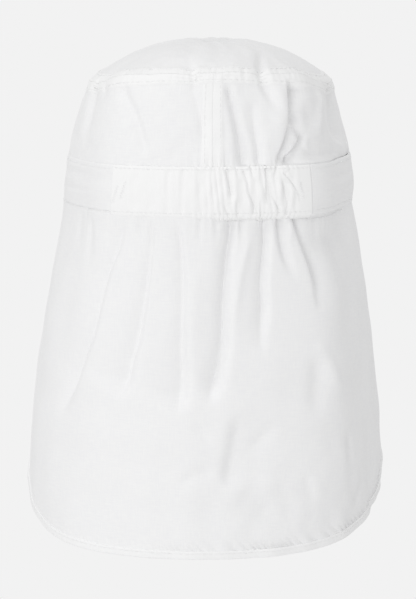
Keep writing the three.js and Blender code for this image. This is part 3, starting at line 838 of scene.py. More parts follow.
@dataclass
class Crown:
    """The two side panels and the top panel, with their seams.

    Attributes:
        form: The hat's main form.
        thickness: Of the cloth.
        tuck: How far an edge runs on, out of sight, past its seam.
        slack: The panels' broad unevenness.
        wrinkles: Their fine creases.
        pucker: What a seam's stitches draw along it, and the small creases among it.
    """

    form: HatForm = FORM
    thickness: float = 1.0
    tuck: float = 2.0
    slack: Crumple = Crumple(0.35, 26.0, 21, 1.6)
    wrinkles: Crumple = Crumple(0.10, 8.0, 22, 1.3)
    pucker: tuple[Gather, Crumple] = (Gather(0.16, 4.3, 31), Crumple(0.10, 5.0, 33))

    def relief(self, turn: Grid, rise: Grid) -> Grid:
        """The height of folds, gathers, seams and creases above the crown's plain form.

        Args:
            turn: Where round the head.
            rise: 1 at the top seam, as in HatForm.crown.

        Returns:
            The height at each place, in millimetres.
        """
        seam_z = self.form.tip_seam(turn)
        from_seam = (rise - 1.0) * np.where(rise <= 1.0, seam_z, self.form.tip_radius(turn))
        place = seam_z + from_seam
        around = turn * ROUND_CROWN
        back = np.cos(turn) > 0
        height = fold_relief(CROWN_FOLDS, *self._on_cloth(turn, place), self._on_cloth)
        height *= 1.0 - smoothstep(np.abs(turn), *FOLDS_END)
        # On the right the cloth dips in where it meets the headband.
        above_casing = place - self.form.band_height
        height -= 1.2 * np.exp(-np.maximum(above_casing, 0.0) / 9.0) * smoothstep(turn, 0.64, 0.8) * back
        height += casing_gathers(around, above_casing)
        height += self.slack.height(around, place) * smoothstep(above_casing, 0.0, 12.0)
        height += self.wrinkles.height(around, place) * np.where(back, 1.0, 0.6)
        # The seam of the top panel: a groove, flattened allowances on both sides and two stitched rows.
        off = np.abs(from_seam)
        pucker = self.pucker[0].height(around) + self.pucker[1].height(around, from_seam)
        height += self._strip(off, SEAM_STRIP, 0.5, 0.6) * (0.5 + pucker)
        height -= self._groove(off) + self._row(off - TOPSTITCH_AT, around)
        # The back seam: a stiff strip, stitched down along both of its sides.
        beside = np.where(rise > 1.0, 99.0, 1.0) * np.abs(around)
        on_wall = back * (1.0 - smoothstep(from_seam, -1.2, -0.2))
        height += on_wall * self._strip(beside, BACK_STRIP, 1.0, 1.2) * 0.5
        height -= on_wall * (self._groove(beside) + self._row(beside - BACK_STITCH_AT, place))
        return height

    def _strip(self, off: Grid, half: float, inner: float, outer: float) -> Grid:
        """1 on a seam's allowances, falling to 0 from inner before their half width to outer after it."""
        return 1.0 - smoothstep(off, half - inner, half + outer)

    def _groove(self, off: Grid) -> Grid:
        """The depth of a seam's groove."""
        return 0.1 * bell(off / 0.8)

    def _row(self, off: Grid, along: Grid) -> Grid:
        """The depth of a stitched row's dent."""
        return stitch_dent(off, along, 0.03, 0.015)

    def layers(self, turn: Grid, rise: Grid) -> Grid:
        """1 along the seams, where the allowances lie below the cloth: the material paints the cloth lighter
        there, partly as doubled cloth and partly as a painted highlight.

        Args:
            turn: Where round the head.
            rise: 1 at the top seam.

        Returns:
            A share for each place.
        """
        from_seam = (rise - 1.0) * np.where(rise <= 1.0, self.form.tip_seam(turn), self.form.tip_radius(turn))
        beside = np.abs(turn) * ROUND_CROWN
        back_strip = self._strip(beside, BACK_STRIP, 1.0, 1.2) * (rise <= 1.0)
        return np.maximum(self._strip(np.abs(from_seam), SEAM_STRIP, 0.5, 0.6), back_strip)

    def _on_cloth(self, turn: Grid, place: Grid) -> tuple[Grid, Grid]:
        """Millimetres across and up the crown's cloth, narrower towards the middle of the top."""
        beyond = (place - self.form.tip_seam(turn)) / self.form.tip_radius(turn)
        return turn * ROUND_CROWN * (1.0 - np.clip(beyond, 0.0, 1.0)), place

    def surface(self, turn: Grid, rise: Grid) -> Grid:
        """The crown's outer face."""
        return self.form.crown(turn, rise, self.relief(turn, rise))

    def _rise(self, turn: Grid, row: Grid, below: float = 0.0) -> Grid:
        """The rise of a side panel's row: 0 at the headband's top, or below it, and 1 at the seam."""
        low = (self.form.band_height - below) / self.form.tip_seam(turn)
        return mix(low, 1.0, np.clip(row, 0.0, 1.0))

    def _wall(self, turn: Grid, row: Grid) -> Grid:
        """Places of a side panel.

        Args:
            turn: Where round the head.
            row: The height as a share of the wall; the tucked upper edge lies between 1 and 2.

        Returns:
            The places, in millimetres.
        """
        rise = self._rise(turn, row, self.tuck)
        below = self.form.band_height - rise * self.form.tip_seam(turn)
        beyond = np.clip(row - 1.0, 0.0, 1.0)
        lift = self.relief(turn, rise) - 0.9 * smoothstep(below, 0.1, 1.4) - 1.1 * beyond
        place = self.form.crown(turn, rise, lift)
        place[..., 2] -= beyond * 2.2
        return place

    def side(self, name: str, sign: float) -> Piece:
        """One side panel, from the back seam to the front seam.

        Args:
            name: The piece's name.
            sign: 1 for the wearer's right, -1 for the left.

        Returns:
            The piece.
        """
        seam, casing, front = 0.085, self.form.casing_turn + 0.06, 1.75
        columns = spaced((0.0, seam, 22), (seam, casing, 84), (casing, front, 52), (front, math.pi, 40))
        if sign < 0:
            columns = -columns[::-1]
        rows = spaced((0.0, 0.2, 24), (0.2, 0.86, 34), (0.86, 1.0, 22), (1.0, 2.0, 2))
        uv = flat_uv(ROUND_CROWN, self.form.tip_seam_ends - self.form.band_height)
        piece = grid_mesh(name, columns, rows, self._wall, uv, lambda u, v: self.layers(u, self._rise(u, v)))
        thicken(piece, self.thickness)
        return piece

    def _disc(self, p: Grid, q: Grid) -> tuple[Grid, Grid]:
        """Turn and rise on the top panel for a place on a square, so that the panel has no pole."""
        x, y = p * np.sqrt(1.0 - q * q / 2), q * np.sqrt(1.0 - p * p / 2)
        return np.arctan2(-x, y), 2.0 - np.hypot(x, y)

    def _top(self, p: Grid, q: Grid) -> Grid:
        """Places of the top panel, with its edge tucked behind the wall.

        Args:
            p: -1 to 1 across a square laid on the panel, a little more for the tucked edge.
            q: And along it.

        Returns:
            The places, in millimetres.
        """
        far = np.maximum(np.abs(p), np.abs(q))
        shrink = np.minimum(1.0, 1.0 / np.maximum(far, 1e-6))
        turn, rise = self._disc(p * shrink, q * shrink)
        beyond = np.clip((far - 1.0) / 0.02, 0.0, 1.0)
        place = self.form.crown(turn, rise, self.relief(turn, rise) - 0.9 * beyond)
        place[..., 2] -= 3.0 * beyond
        return place

    def tip(self) -> Piece:
        """The oval top panel."""
        half = spaced((0.0, 0.86, 58), (0.86, 1.0, 26), (1.0, 1.02, 1))
        places = np.concatenate([-half[::-1], half[1:]])
        piece = grid_mesh(
            "crown_top_panel", places, places, self._top, flat_uv(*TIP_UV),
            lambda u, v: self.layers(*self._disc(np.clip(u, -1.0, 1.0), np.clip(v, -1.0, 1.0))),
        )
        mend(piece)
        thicken(piece, self.thickness)
        return piece

    def seam_rows(self) -> list[Row]:
        """The stitched rows of the top seam and of the back seam."""
        turns, rises = np.linspace(-math.pi, math.pi, 900), np.linspace(0.37, 0.925, 120)
        rows = [
            (turns, 1.0 - TOPSTITCH_AT / self.form.tip_seam(turns)),
            (turns, 1.0 + TOPSTITCH_AT / self.form.tip_radius(turns)),
            (-BACK_STITCH_AT / ROUND_CROWN, rises),
            (BACK_STITCH_AT / ROUND_CROWN, rises),
        ]
        return [on_surface(self.surface, turn, rise, *FELT) for turn, rise in rows]

    def build(self, cotton: Cloth, thread: Cloth) -> list[Piece]:
        """Make and dress the crown's pieces, and return them."""
        slot = "crown_cotton"
        return [
            dress(self.tip(), cotton, slot, "crown_tip"),
            dress(self.side("crown_panel_right", 1.0), cotton, slot, "crown_side_right"),
            dress(self.side("crown_panel_left", -1.0), cotton, slot, "crown_side_left"),
            dress(stitch_piece("crown_topstitching", self.seam_rows(), Stitch.TOPSTITCH), thread, slot),
        ]


# Headband and casing

CASING_FOLDS = (
    Fold(((6, 25), (7, 18), (8, 12.5), (9, 7.5)), (1.4, 1.3), (-1.9, -1.3), (0.08, 0.3), -1.4),
    Fold(((5, 7), (7, 0.5)), (1.2, 1.2), (-1, -1.5), (0.3, 0), -1.4),
    Fold(((10, 10.5), (10.5, 0.5)), (1.3, 1.3), (-0.8, -1.6), (0.4, 0), -1.4),
    Fold(((10, 25.5), (11, 19)), (1.2, 1.4), (-1.1, -0.6), (0, 0.5), -1.4),
    Fold(((13, 24.5), (14.5, 18.5), (15, 12.5), (17, 6), (17, 0.5)),
         (1.4, 1.4), (-1.4, -1.7), (0.05, 0.1), -1.4),
    Fold(((16, 25.5), (17, 19)), (1.2, 1.3), (-1.2, -0.6), (0, 0.5), -1.4),
    Fold(((19.5, 10), (20, 0)), (1.4, 1.4), (-0.7, -1.4), (0.4, 0), -1.4),
    Fold(((22, 25), (22, 17.5), (22, 10.5), (22.5, 5)), (1.3, 1.3), (-2.1, -1.5), (0.03, 0.3), -1.4),
    Fold(((23.5, 13.5), (25, 8), (27, 2.5)), (1.2, 1.2), (-1.3, -1.3), (0.3, 0.2), -1.4),
    Fold(((26.5, 25.5), (25, 19)), (1.2, 1.2), (-1.2, -0.6), (0, 0.5), -1.4),
    Fold(((28.5, 23), (31.5, 17.5), (34, 12), (35, 6)), (1, 1), (-1.2, -1.2), (0.1, 0.1), -1.4),
    Fold(((28, 19.5), (29, 13.5), (30, 7), (29.5, 0)), (1.3, 1.3), (-1.5, -1.5), (0.2, 0.1), -1.4),
    Fold(((-29.5, 24), (-29, 2.5)), (2.2, 2.2), (-0.5, -0.5), (0.2, 0.2)),
    Fold(((-22.5, 24), (-23, 2)), (2.4, 2.4), (-0.35, -0.45), (0.2, 0.2)),
    Fold(((-17, 25), (-17, 1)), (1.8, 1.8), (-0.7, -0.6), (0.1, 0.1)),
    Fold(((-11, 25.5), (-12, 1)), (1.8, 1.8), (-0.8, -0.8), (0.1, 0.1)),
    Fold(((-3.5, 25), (-3.5, 1)), (1.8, 1.8), (-0.7, -0.7), (0.1, 0.1)),
)

BAND_FOLDS = (
    Fold(((-98, 17.5), (-82, 19), (-50, 19.6)), (1.3, 1.3), (-0.55, -0.5), (0.3, 0.3)),
    Fold(((-88, 9.5), (-72, 10.2), (-46, 12)), (1.2, 1.3), (-0.5, -0.5), (0.3, 0.3)),
    Fold(((-92, 14.2), (-60, 15.5)), (2, 2), (0.35, 0.35), (0.3, 0.3)),
    Fold(((44, 21), (62, 17), (96, 18)), (1.5, 1.5), (-0.5, -0.5), (0.3, 0.3)),
    Fold(((43, 12), (66, 10), (92, 12)), (1.4, 1.4), (-0.5, -0.5), (0.3, 0.3)),
    Fold(((110, 15), (150, 13)), (1.8, 1.8), (-0.4, -0.4), (0.3, 0.3)),
    Fold(((-160, 17), (-115, 13)), (1.8, 1.8), (-0.4, -0.4), (0.3, 0.3)),
)

EDGE_STITCH_AT = 2.3  # from an edge of the headband to its stitched row
CASING_LOW_ROW, CASING_HIGH_ROW = 2.0, 1.6  # from the casing's lower and upper edge to theirs
END_GAP = 0.02  # radians: the headband runs this far under the casing, and stitched rows end this far short


@dataclass
class Rim:
    """The headband round the sides and front, and the gathered elastic casing at the back.

    Attributes:
        form: The hat's main form.
        band_cloth: Thickness of the doubled cloth.
        casing_shift: The casing sits a little towards the wearer's right, in radians.
        band_slack: The headband's long, shallow waves.
        gathers: The casing's gathers between its seams, and the small creases among them.
    """

    form: HatForm = FORM
    band_cloth: float = 1.8
    casing_shift: float = -0.011
    band_slack: Crumple = Crumple(0.16, 9.0, 41, 7.0)
    gathers: tuple[Gather, Crumple] = (Gather(0.55, 4.6, BACK_SEED + 2), Crumple(0.35, 6.0, 43, 2.6))

    def _on_cloth(self, turn: Grid, up: Grid) -> tuple[Grid, Grid]:
        """Millimetres along and up the band."""
        return turn * ROUND_CROWN, up

    def _edges(self, up: Grid) -> Grid:
        """Both long edges of a folded strip are rolled in."""
        return -0.25 * (bell(up / 0.6) + bell((self.form.band_height - up) / 0.6))

    def band(self, turn: Grid, up: Grid) -> Grid:
        """The headband's outer face.

        Args:
            turn: Where round the head, from the casing's right end over the front to its left end.
            up: Millimetres above the lower edge.

        Returns:
            The places, in millimetres.
        """
        turn = np.where(turn > math.pi, turn - 2 * math.pi, turn)
        around = turn * ROUND_CROWN
        lift = 0.35 + self._edges(up) + fold_relief(BAND_FOLDS, around, up, self._on_cloth)
        lift += self.band_slack.height(up, around)
        # On the right the lower edge dips in.
        lift -= 1.5 * bell(up / 6.0) * smoothstep(turn, 0.64, 0.8) * (1.0 - smoothstep(turn, 1.6, 2.2))
        for row in (EDGE_STITCH_AT, self.form.band_height - EDGE_STITCH_AT):
            lift -= stitch_dent(up - row, around, 0.08, 0.03)
        sunk = np.where(up < 0, 1.5, 0.0)
        return self.form.crown(turn, up / self.form.tip_seam(turn), lift - sunk)

    def casing(self, turn: Grid, up: Grid) -> Grid:
        """The casing's outer face.

        Args:
            turn: Where round the head.
            up: Millimetres above the lower edge.

        Returns:
            The places, in millimetres.
        """
        height = self.form.band_height
        around = turn * ROUND_CROWN
        share = np.clip(up / height, 0.0, 1.0)
        swell = np.sin(math.pi * share) ** 0.6
        # Gathers begin a little way in from the ends, where the elastic is tacked down flat.
        from_end = self.form.casing_turn * ROUND_CROWN - np.abs(around)
        free = smoothstep(from_end, 6.0, 12.0)
        strength = mix(0.3, 1.0, smoothstep(around, -22.0, 10.0)) * free
        inner = self.gathers[0].height(around + (share - 0.5) * 2.6) + self.gathers[1].height(around, up)
        seam_gathers = FINE_GATHERS.height(around) + 0.75 * BROAD_GATHERS.height(around)
        to_seam = np.maximum(np.minimum(up, height - up), 0.0)
        near_seam = np.exp(-((to_seam / 3.0) ** 1.3))
        lift = 0.55 + 0.9 * swell * mix(0.35, 1.0, free) + self._edges(up)
        lift += strength * (inner * swell + seam_gathers * near_seam)
        lift += fold_relief(CASING_FOLDS, around, up, self._on_cloth) * mix(0.2, 1.0, free)
        lift -= bell((up - CASING_LOW_ROW) / 0.5) * 0.08
        lift -= bell((height - CASING_HIGH_ROW - up) / 0.5) * 0.06
        # The short ends are turned in, down to the headband.
        lift -= 1.3 * (1.0 - smoothstep(from_end, 0.0, 0.9)) + np.where(up < 0, 1.2, 0.0)
        return self.form.crown(turn + self.casing_shift, up / self.form.tip_seam(turn), lift)

    def bartacks(self) -> Piece:
        """Close zigzag stitches that hold the elastic's ends: two on the left, one on the right."""
        count, tall, wide = 15, 9.0, 1.8
        tacks, row = bmesh.new(), StitchRow(Stitch.BARTACK)
        for turn, up, lean in ((-0.655, 11.0, 2.6), (-0.60, 13.5, 2.6), (0.615, 13.0, -1.6)):
            share = np.arange(count) / (count - 1) - 0.5
            side = np.where(np.arange(count) % 2 == 0, -0.5, 0.5) * wide + lean * share
            places, normals = on_surface(self.casing, turn + side / ROUND_CROWN, up + share * tall, 0.01, 0.6)
            points = [Vector(place) for place in places]
            for start, end, normal in zip(points, points[1:], normals):
                row.stitch(tacks, start, end, Vector(normal))
        return finished("casing_bartacks", tacks)

    def stitch_rows(self) -> list[Row]:
        """The rows along both long edges of the headband and of the casing."""
        half, height = self.form.casing_turn, self.form.band_height
        turns = np.linspace(half + END_GAP, 2 * math.pi - half - END_GAP, 700)
        ups = (EDGE_STITCH_AT, height - EDGE_STITCH_AT)
        rows = [on_surface(self.band, turns, up, FELT[0], 0.3) for up in ups]
        turns = np.linspace(-half + END_GAP, half - END_GAP, 400)
        ups = (CASING_LOW_ROW, height - CASING_HIGH_ROW)
        return rows + [on_surface(self.casing, turns, up, FELT[0], 0.2) for up in ups]

    def build(self, cotton: Cloth, thread: Cloth) -> list[Piece]:
        """Make and dress the headband, the casing and their stitches.

        Args:
            cotton: The cloth's finish.
            thread: The stitches' finish.

        Returns:
            The pieces.
        """
        half, height, slot = self.form.casing_turn, self.form.band_height, "band_cotton"
        edge, uv = 4.0, flat_uv(ROUND_CROWN, 1.0)
        columns = spaced((half - END_GAP, math.pi, 170), (math.pi, 2 * math.pi - half + END_GAP, 170))
        rows = spaced((-2.0, 0.0, 2), (0.0, edge, 14), (edge, height - edge, 24), (height - edge, height, 14))
        band = grid_mesh("headband_cloth", columns, rows, self.band, uv)
        thicken(band, self.band_cloth)
        dress(band, cotton, slot, "headband")
        columns = spaced((-half, half, 330))
        rows = spaced((-1.5, 0.0, 2), (0.0, edge, 16), (edge, height - edge, 40), (height - edge, height, 16))
        # The whole casing is painted lighter: partly as doubled cloth, partly as a painted highlight.
        casing = grid_mesh(
            "elastic_casing_cloth", columns, rows, self.casing, uv, lambda u, v: np.ones(u.shape)
        )
        thicken(casing, self.band_cloth)
        dress(casing, cotton, slot, "elastic_casing")
        rows = dress(stitch_piece("band_topstitching", self.stitch_rows(), Stitch.EDGE), thread, slot)
        return [band, casing, rows, dress(self.bartacks(), thread, slot)]


# Neck flap

FLAP_FOLDS = (
    Fold(((-51.5, 1), (-48, 34)), (2, 5), (-1, -1), (0.15, 0.5)),
    Fold(((-60, 1), (-59, 23)), (2, 4), (-0.7, -0.6), (0.15, 0.6)),
    Fold(((-34, -2), (-37, 17.5), (-40.5, 32), (-44, 59), (-47, 70), (-51, 86), (-57, 108)),
         (3, 6.5), (-1.6, -8), (0.12, 0.25), 1.2),
    Fold(((-28, -4), (-28.5, 18)), (1.6, 2.8), (-0.9, -1), (0, 0.6)),
    Fold(((-24.5, -2), (-24, 16.5), (-25, 42), (-26.5, 62.5), (-28, 73), (-29.5, 85), (-32, 94)),
         (2.2, 5.8), (-1.6, -6.4), (0.12, 0.12), 1.3),
    Fold(((-15, -2), (-13, 11), (-12, 22.5), (-11, 41.5), (-10.5, 67), (-10, 87.5), (-12, 100.5)),
         (2.4, 6.4), (-2, -6.6), (0.12, 0.1), 1.5),
    Fold(((-6, 22.5), (-6, 41.5), (-6.5, 82.5)), (4, 5), (0.7, 0.7), (0.2, 0.4)),
    Fold(((-5.5, -4), (-5, 16)), (1.5, 2.4), (-0.9, -0.9), (0, 0.6)),
    Fold(((1, -4), (2, 13)), (1.5, 2.2), (-0.8, -0.7), (0, 0.6)),
    Fold(((8, -5), (7, 11), (5.5, 22.5), (4.5, 46.5), (4.5, 59.5), (4, 68), (2.5, 79), (-1, 97)),
         (3, 5.6), (-5.6, -8.6), (0.12, 0.15), 1.2),
    Fold(((15.5, 6.5), (11.5, 24), (9, 41.5), (7.5, 64.5)), (2.6, 3.6), (1.4, 1), (0.2, 0.4)),
    Fold(((12, -4), (11, 15)), (1.7, 2.2), (-2.4, -1.4), (0.3, 0.6)),
    Fold(((21, -5), (21, 11.5), (20, 22.5), (19, 34.5), (19, 47), (18, 60), (18, 73.5)),
         (2.6, 4), (-5, -4.4), (0.16, 0.35), 1.3),
    Fold(((27, -5), (27, 11), (28, 20), (30, 28.5), (32, 34.5)), (2.2, 2.6), (-4.4, -2.8), (0.25, 0.5)),
    Fold(((30.5, 1.5), (30.5, 15)), (1.6, 2.2), (1, 0.7), (0.15, 0.6)),
    Fold(((31.5, -5), (34.5, 10.5), (36.5, 19), (38.5, 28), (39.5, 37), (39.5, 52)),
         (2, 4.4), (-3.8, -7), (0.16, 0.35), -2.4),
    Fold(((35, 64.5), (38.5, 72), (42.5, 83), (47.5, 96.5)), (4, 5), (1.6, 1.6), (0.3, 0.4)),
    Fold(((37, 67), (37, 80), (36, 93.5), (35, 107)), (5, 5), (-2.6, -2.2), (0.3, 0.4)),
    Fold(((52, 6), (56.5, 40), (60, 80)), (8, 10), (-2, -2), (0.15, 0.4)),
    Fold(((44, 10), (46, 60), (48, 120)), (16, 18), (1.4, 1.6), (0.3, 0.4)),
    Fold(((-68, 20), (-68, 100)), (10, 14), (1, 1.2), (0.3, 0.4)),
    Fold(((11.5, 99), (9.5, 108), (8.5, 115.5), (7.5, 123.5), (6.5, 131), (6.5, 141)),
         (6.4, 5.2), (-2.8, -3.6), (0.25, 0.3), -2.4),
    Fold(((29, 30), (35, 100), (43, 136), (45, 160)), (20, 22), (1.4, 1.6), (0.3, 0.25)),
    Fold(((-60, 90), (-62, 120), (-62, 160)), (22, 22), (1, 2), (0.4, 0)),
    Fold(((13, 119.5), (18, 112.5), (23.5, 103.5)), (3, 3.2), (-1.2, -1.2), (0.3, 0.5)),
    Fold(((-12, 139), (-6, 132.5), (2, 128)), (3, 3), (-1, -1), (0.4, 0.3)),
    Fold(((8.5, 139), (15.5, 147), (24, 155.5)), (9, 9), (-1.2, -1.2), (0.3, 0.4)),
    Fold(((-6, 104), (1, 116)), (2.4, 2.4), (-0.7, -0.6), (0.4, 0.4)),
    Fold(((31, 130), (34, 148.5)), (2.6, 2.6), (-0.8, -0.7), (0.4, 0.3)),
    Fold(((49.5, 112.5), (50, 133.5)), (3, 3), (-1.6, -1.4), (0.3, 0.4)),
    Fold(((59, 140), (53, 153)), (2.6, 2.6), (-0.8, -0.8), (0.3, 0.2)),
)

HEM_WIDTH = 4.4
HEM_STITCH_AT = 1.3  # from the hem's inner edge
HEM_THICK = 0.85  # half the hem's thickness
HEM_SQUARE = 0.55  # below 1 the hem's section is squarer than an oval
HEM_LONG = 300.0  # millimetres of hem on each side, roughly
HEM_ROWS = 22
FAR_INSIDE = 90.0  # so far from the edge the cloth has none of the hem's puckers
SHEET_INSET = HEM_WIDTH * 0.55  # how far the sheet's edge lies inside the hem


@dataclass
class NeckFlap:
    """The long neck flap: gathered under the casing, spread over the shoulders, with a narrow hem.

    Attributes:
        form: The hat's main form.
        cloth: Thickness of the cloth.
        corners: For each side (across, down): how square the corner is, 2 being a plain oval.
        side_gathers: The small gathers under the headband, beside the casing.
        slack: The cloth's unevenness: broad, medium, and small low on the right.
        hem_pucker: Small slanted puckers that the hem's stitches draw.
        rope: The hem's twist.
        hem_wave: The hem's unevenness.
    """

    form: HatForm = FORM
    cloth: float = 0.9
    corners: dict[float, tuple[float, float]] = field(
        default_factory=lambda: {-1.0: (3.2, 2.1), 1.0: (2.6, 1.75)}
    )
    side_gathers: Gather = Gather(0.25, 5.6, 53)
    slack: tuple[Crumple, ...] = (
        Crumple(0.4, 60.0, 54, 2.2), Crumple(0.28, 20.0, 55, 1.5), Crumple(0.24, 13.0, 56, 1.6),
    )
    hem_pucker: Gather = Gather(0.9, 4.2, 57)
    rope: Gather = Gather(0.14, 3.8, 61)
    hem_wave: Crumple = Crumple(0.12, 14.0, 62)

    def outline(self, side: float, inset: float) -> Grid:
        """The flap's edge in the flat, from the lowest place round the corner and up the front edge.

        Args:
            side: 1 for the wearer's right, -1 for the left.
            inset: How far the line lies inside the edge, in millimetres.

        Returns:
            Points (reach, drop), evenly spaced along the line.
        """
        form = self.form
        across, down = self.corners[side]
        angle = np.linspace(math.pi / 2, 0.0, 400)
        reach = form.low_reach * np.cos(angle) ** (2 / across)
        drop = form.front_drop + (form.flap_drop - form.front_drop) * np.sin(angle) ** (2 / down)
        up = np.linspace(form.front_drop, 0.0, 120)[1:]
        front = mix(form.top_reach, form.low_reach, up / form.front_drop)
        line = np.column_stack([np.concatenate([reach, front]), np.concatenate([drop, up])])
        run = run_along(line)
        line = self._at(line, np.linspace(0.0, run[-1], 700), run)
        ahead = np.gradient(line, axis=0)
        ahead /= np.linalg.norm(ahead, axis=1, keepdims=True)
        return line + np.column_stack([ahead[:, 1], -ahead[:, 0]]) * inset

    def _at(self, line: Grid, where: Grid, run: Grid | None = None) -> Grid:
        """The points of a line at places counted in points, or in the units of run."""
        run = np.arange(len(line)) if run is None else run
        return np.column_stack([np.interp(where, run, line[:, k]) for k in range(2)])

    def to_edge(self, reach: Grid, drop: Grid) -> Grid:
        """Roughly how far a place lies inside the flap's edge.

        Args:
            reach: Millimetres along the cloth from the centre back.
            drop: Millimetres below the headband.

        Returns:
            The distance for each place, in millimetres.
        """
        far = np.full(np.shape(reach), np.inf)
        for sign in (-1.0, 1.0):
            mine = (reach < 0) == (sign < 0)
            here = np.column_stack([np.abs(reach[mine]), drop[mine]])
            for point in self.outline(sign, 0.0)[::3]:
                far[mine] = np.minimum(far[mine], np.hypot(*(here - point).T))
        return far

    def relief(self, reach: Grid, drop: Grid, from_edge: Grid) -> Grid:
        """The height of the flap's folds, gathers and creases.

        Args:
            reach: Millimetres along the cloth from the centre back.
            drop: Millimetres below the headband.
            from_edge: Millimetres inside the flap's edge.

        Returns:
            The height at each place, in millimetres.
        """
        turn = self.form.flap_turn(reach, drop)
        around = turn * ROUND_FLAP
        height = fold_relief(FLAP_FOLDS, around, drop, lambda t, p: (t * ROUND_FLAP, p))
        height += casing_gathers(turn * ROUND_CROWN, drop) * 0.9
        beside = smoothstep(np.abs(turn), 0.6, 0.75) * (1.0 - smoothstep(np.abs(turn), 1.3, 1.6))
        height += self.side_gathers.height(around) * np.exp(-drop / 7.0) * beside
        # On the right the cloth lies in below the headband, on the left it stands out at once.
        under_band = smoothstep(turn, 0.60, 0.76) * (1.0 - smoothstep(turn, 1.15, 1.4))
        height -= (2.4 * np.exp(-drop / 5.0) + 3.4 * bell((drop - 12.0) / 10.0)) * under_band
        height += 1.6 * np.exp(-drop / 9.0) * (1.0 - smoothstep(turn, -0.1, 0.15))
        height -= 0.1 * bell((from_edge - HEM_WIDTH) / 2.6) * smoothstep(turn, -0.35, 0.1)
        grow = smoothstep(drop, 5.0, 60.0)
        lower = smoothstep(drop, 95.0, 150.0) * smoothstep(turn, -0.2, 0.5)
        for slack, share in zip(self.slack, (grow, mix(0.4, 1.0, grow), lower)):
            height += slack.height(around, drop) * share
        near_hem = np.exp(-((np.maximum(from_edge - HEM_WIDTH, 0.0) / 4.0) ** 1.5))
        strength = mix(0.25, 1.0, smoothstep(turn, -0.5, 0.15))
        height += near_hem * strength * (0.2 + self.hem_pucker.height(around + 0.8 * from_edge))
        return height

    def _plan(self, across: Grid, up: Grid) -> tuple[Grid, Grid]:
        """Reach and drop of a place on the flap's sheet.

        Args:
            across: -1 to 1 from the left front edge to the right one.
            up: 0 at the hem, 1 at the seam, more above it.

        Returns:
            The reaches and the drops.
        """
        reach, drop = np.zeros(across.shape), np.zeros(across.shape)
        for sign in (-1.0, 1.0):
            line = self.outline(sign, SHEET_INSET)
            corner = np.argmax(line[:, 1] <= self.form.front_drop)
            mine = (across < 0) == (sign < 0)
            foot = self._at(line, np.abs(across[mine]) * corner)
            top = np.abs(across[mine]) * (self.form.top_reach - SHEET_INSET)
            reach[mine] = sign * mix(foot[:, 0], top, np.minimum(up[mine], 1.0))
            drop[mine] = foot[:, 1] * (1.0 - up[mine])
        return reach, drop

    def _sheet(self, across: Grid, up: Grid) -> Grid:
        """Places of the flap's sheet, for the columns and rows of _plan."""
        reach, drop = self._plan(across, up)
        below = np.maximum(drop, 0.0)
        place = self.form.flap(reach, below, self.relief(reach, below, self.to_edge(reach, drop)))
        place[..., 2] += below - drop
        return place

    def sheet(self) -> Piece:
        """The flap's cloth."""
        columns = spaced((-1.0, -0.5, 50), (-0.5, 0.5, 236), (0.5, 1.0, 50))
        rows = spaced((0.0, 0.10, 18), (0.10, 0.86, 76), (0.86, 1.0, 34), (1.0, 1.012, 1))
        piece = grid_mesh(
            "neck_flap_cloth", columns, rows, self._sheet, lambda u, v: np.column_stack(self._plan(u, v))
        )
        thicken(piece, self.cloth)
        return piece

    def _hem_section(self, along: Grid, turned: Grid) -> Grid:
        """The hem: a flat roll of cloth swept along the edge.

        Args:
            along: -1 to 1 along the edge, from one front corner to the other.
            turned: 0 to 1 round the section, from the inner edge over the outer face.

        Returns:
            The places, in millimetres.
        """
        angle = 2 * math.pi * turned
        cosine, sine = np.cos(angle), np.sin(angle)
        inward = HEM_WIDTH / 2 * (1.0 + np.sign(cosine) * np.abs(cosine) ** HEM_SQUARE)
        thick = HEM_THICK * np.sign(sine) * np.abs(sine) ** 0.6
        reach, drop = np.zeros(along.shape), np.zeros(along.shape)
        for sign in (-1.0, 1.0):
            mine = (along < 0) == (sign < 0)
            edge, inner = self.outline(sign, 0.0), self.outline(sign, HEM_WIDTH)
            where = np.abs(along[mine]) * (len(edge) - 1)
            share = (inward[mine] / HEM_WIDTH)[:, None]
            line = mix(self._at(edge, where), self._at(inner, where), share)
            reach[mine], drop[mine] = sign * line[:, 0], line[:, 1]
        drop = np.maximum(drop, 0.0)
        inside = np.full(along.shape, FAR_INSIDE)
        run = np.abs(along) * HEM_LONG
        outer = np.maximum(thick, 0.0) / HEM_THICK
        lift = self.relief(reach, drop, inside) - 0.1 + thick
        lift -= 0.16 * bell((HEM_WIDTH - HEM_STITCH_AT - inward) / 0.45) * outer
        lift += self.rope.height(run * np.sign(along) + 1.1 * inward) * outer
        lift += self.hem_wave.height(run, inward)
        return self.form.flap(reach, drop, lift)

    def hem(self) -> Piece:
        """The hem's roll, closed along its inner edge and at both ends."""
        # The hem is painted a little lighter: partly as doubled cloth, partly as a painted highlight.
        piece = grid_mesh(
            "neck_flap_hem", spaced((-1.0, 1.0, 760)), np.linspace(0.0, 1.0, HEM_ROWS + 1),
            self._hem_section, flat_uv(HEM_LONG, 10.0), lambda u, v: np.full(u.shape, 0.7),
        )
        mend(piece, 0.01)
        return piece

    def _hem_row(self) -> Row:
        """The hem's row of stitches, on the outer face."""
        along = np.linspace(-0.995, 0.995, 1400)
        share = 1.0 - HEM_STITCH_AT / (HEM_WIDTH / 2)
        turned = np.full(along.shape, math.acos(share ** (1 / HEM_SQUARE)) / (2 * math.pi))
        places = self._hem_section(along, turned)
        normals = outward(self._hem_section, along, turned, 0.002, 0.02)
        from_middle = places * np.array([1.0, 1.0, 0.0])
        return places, normals * np.sign(np.sum(normals * from_middle, axis=1, keepdims=True))

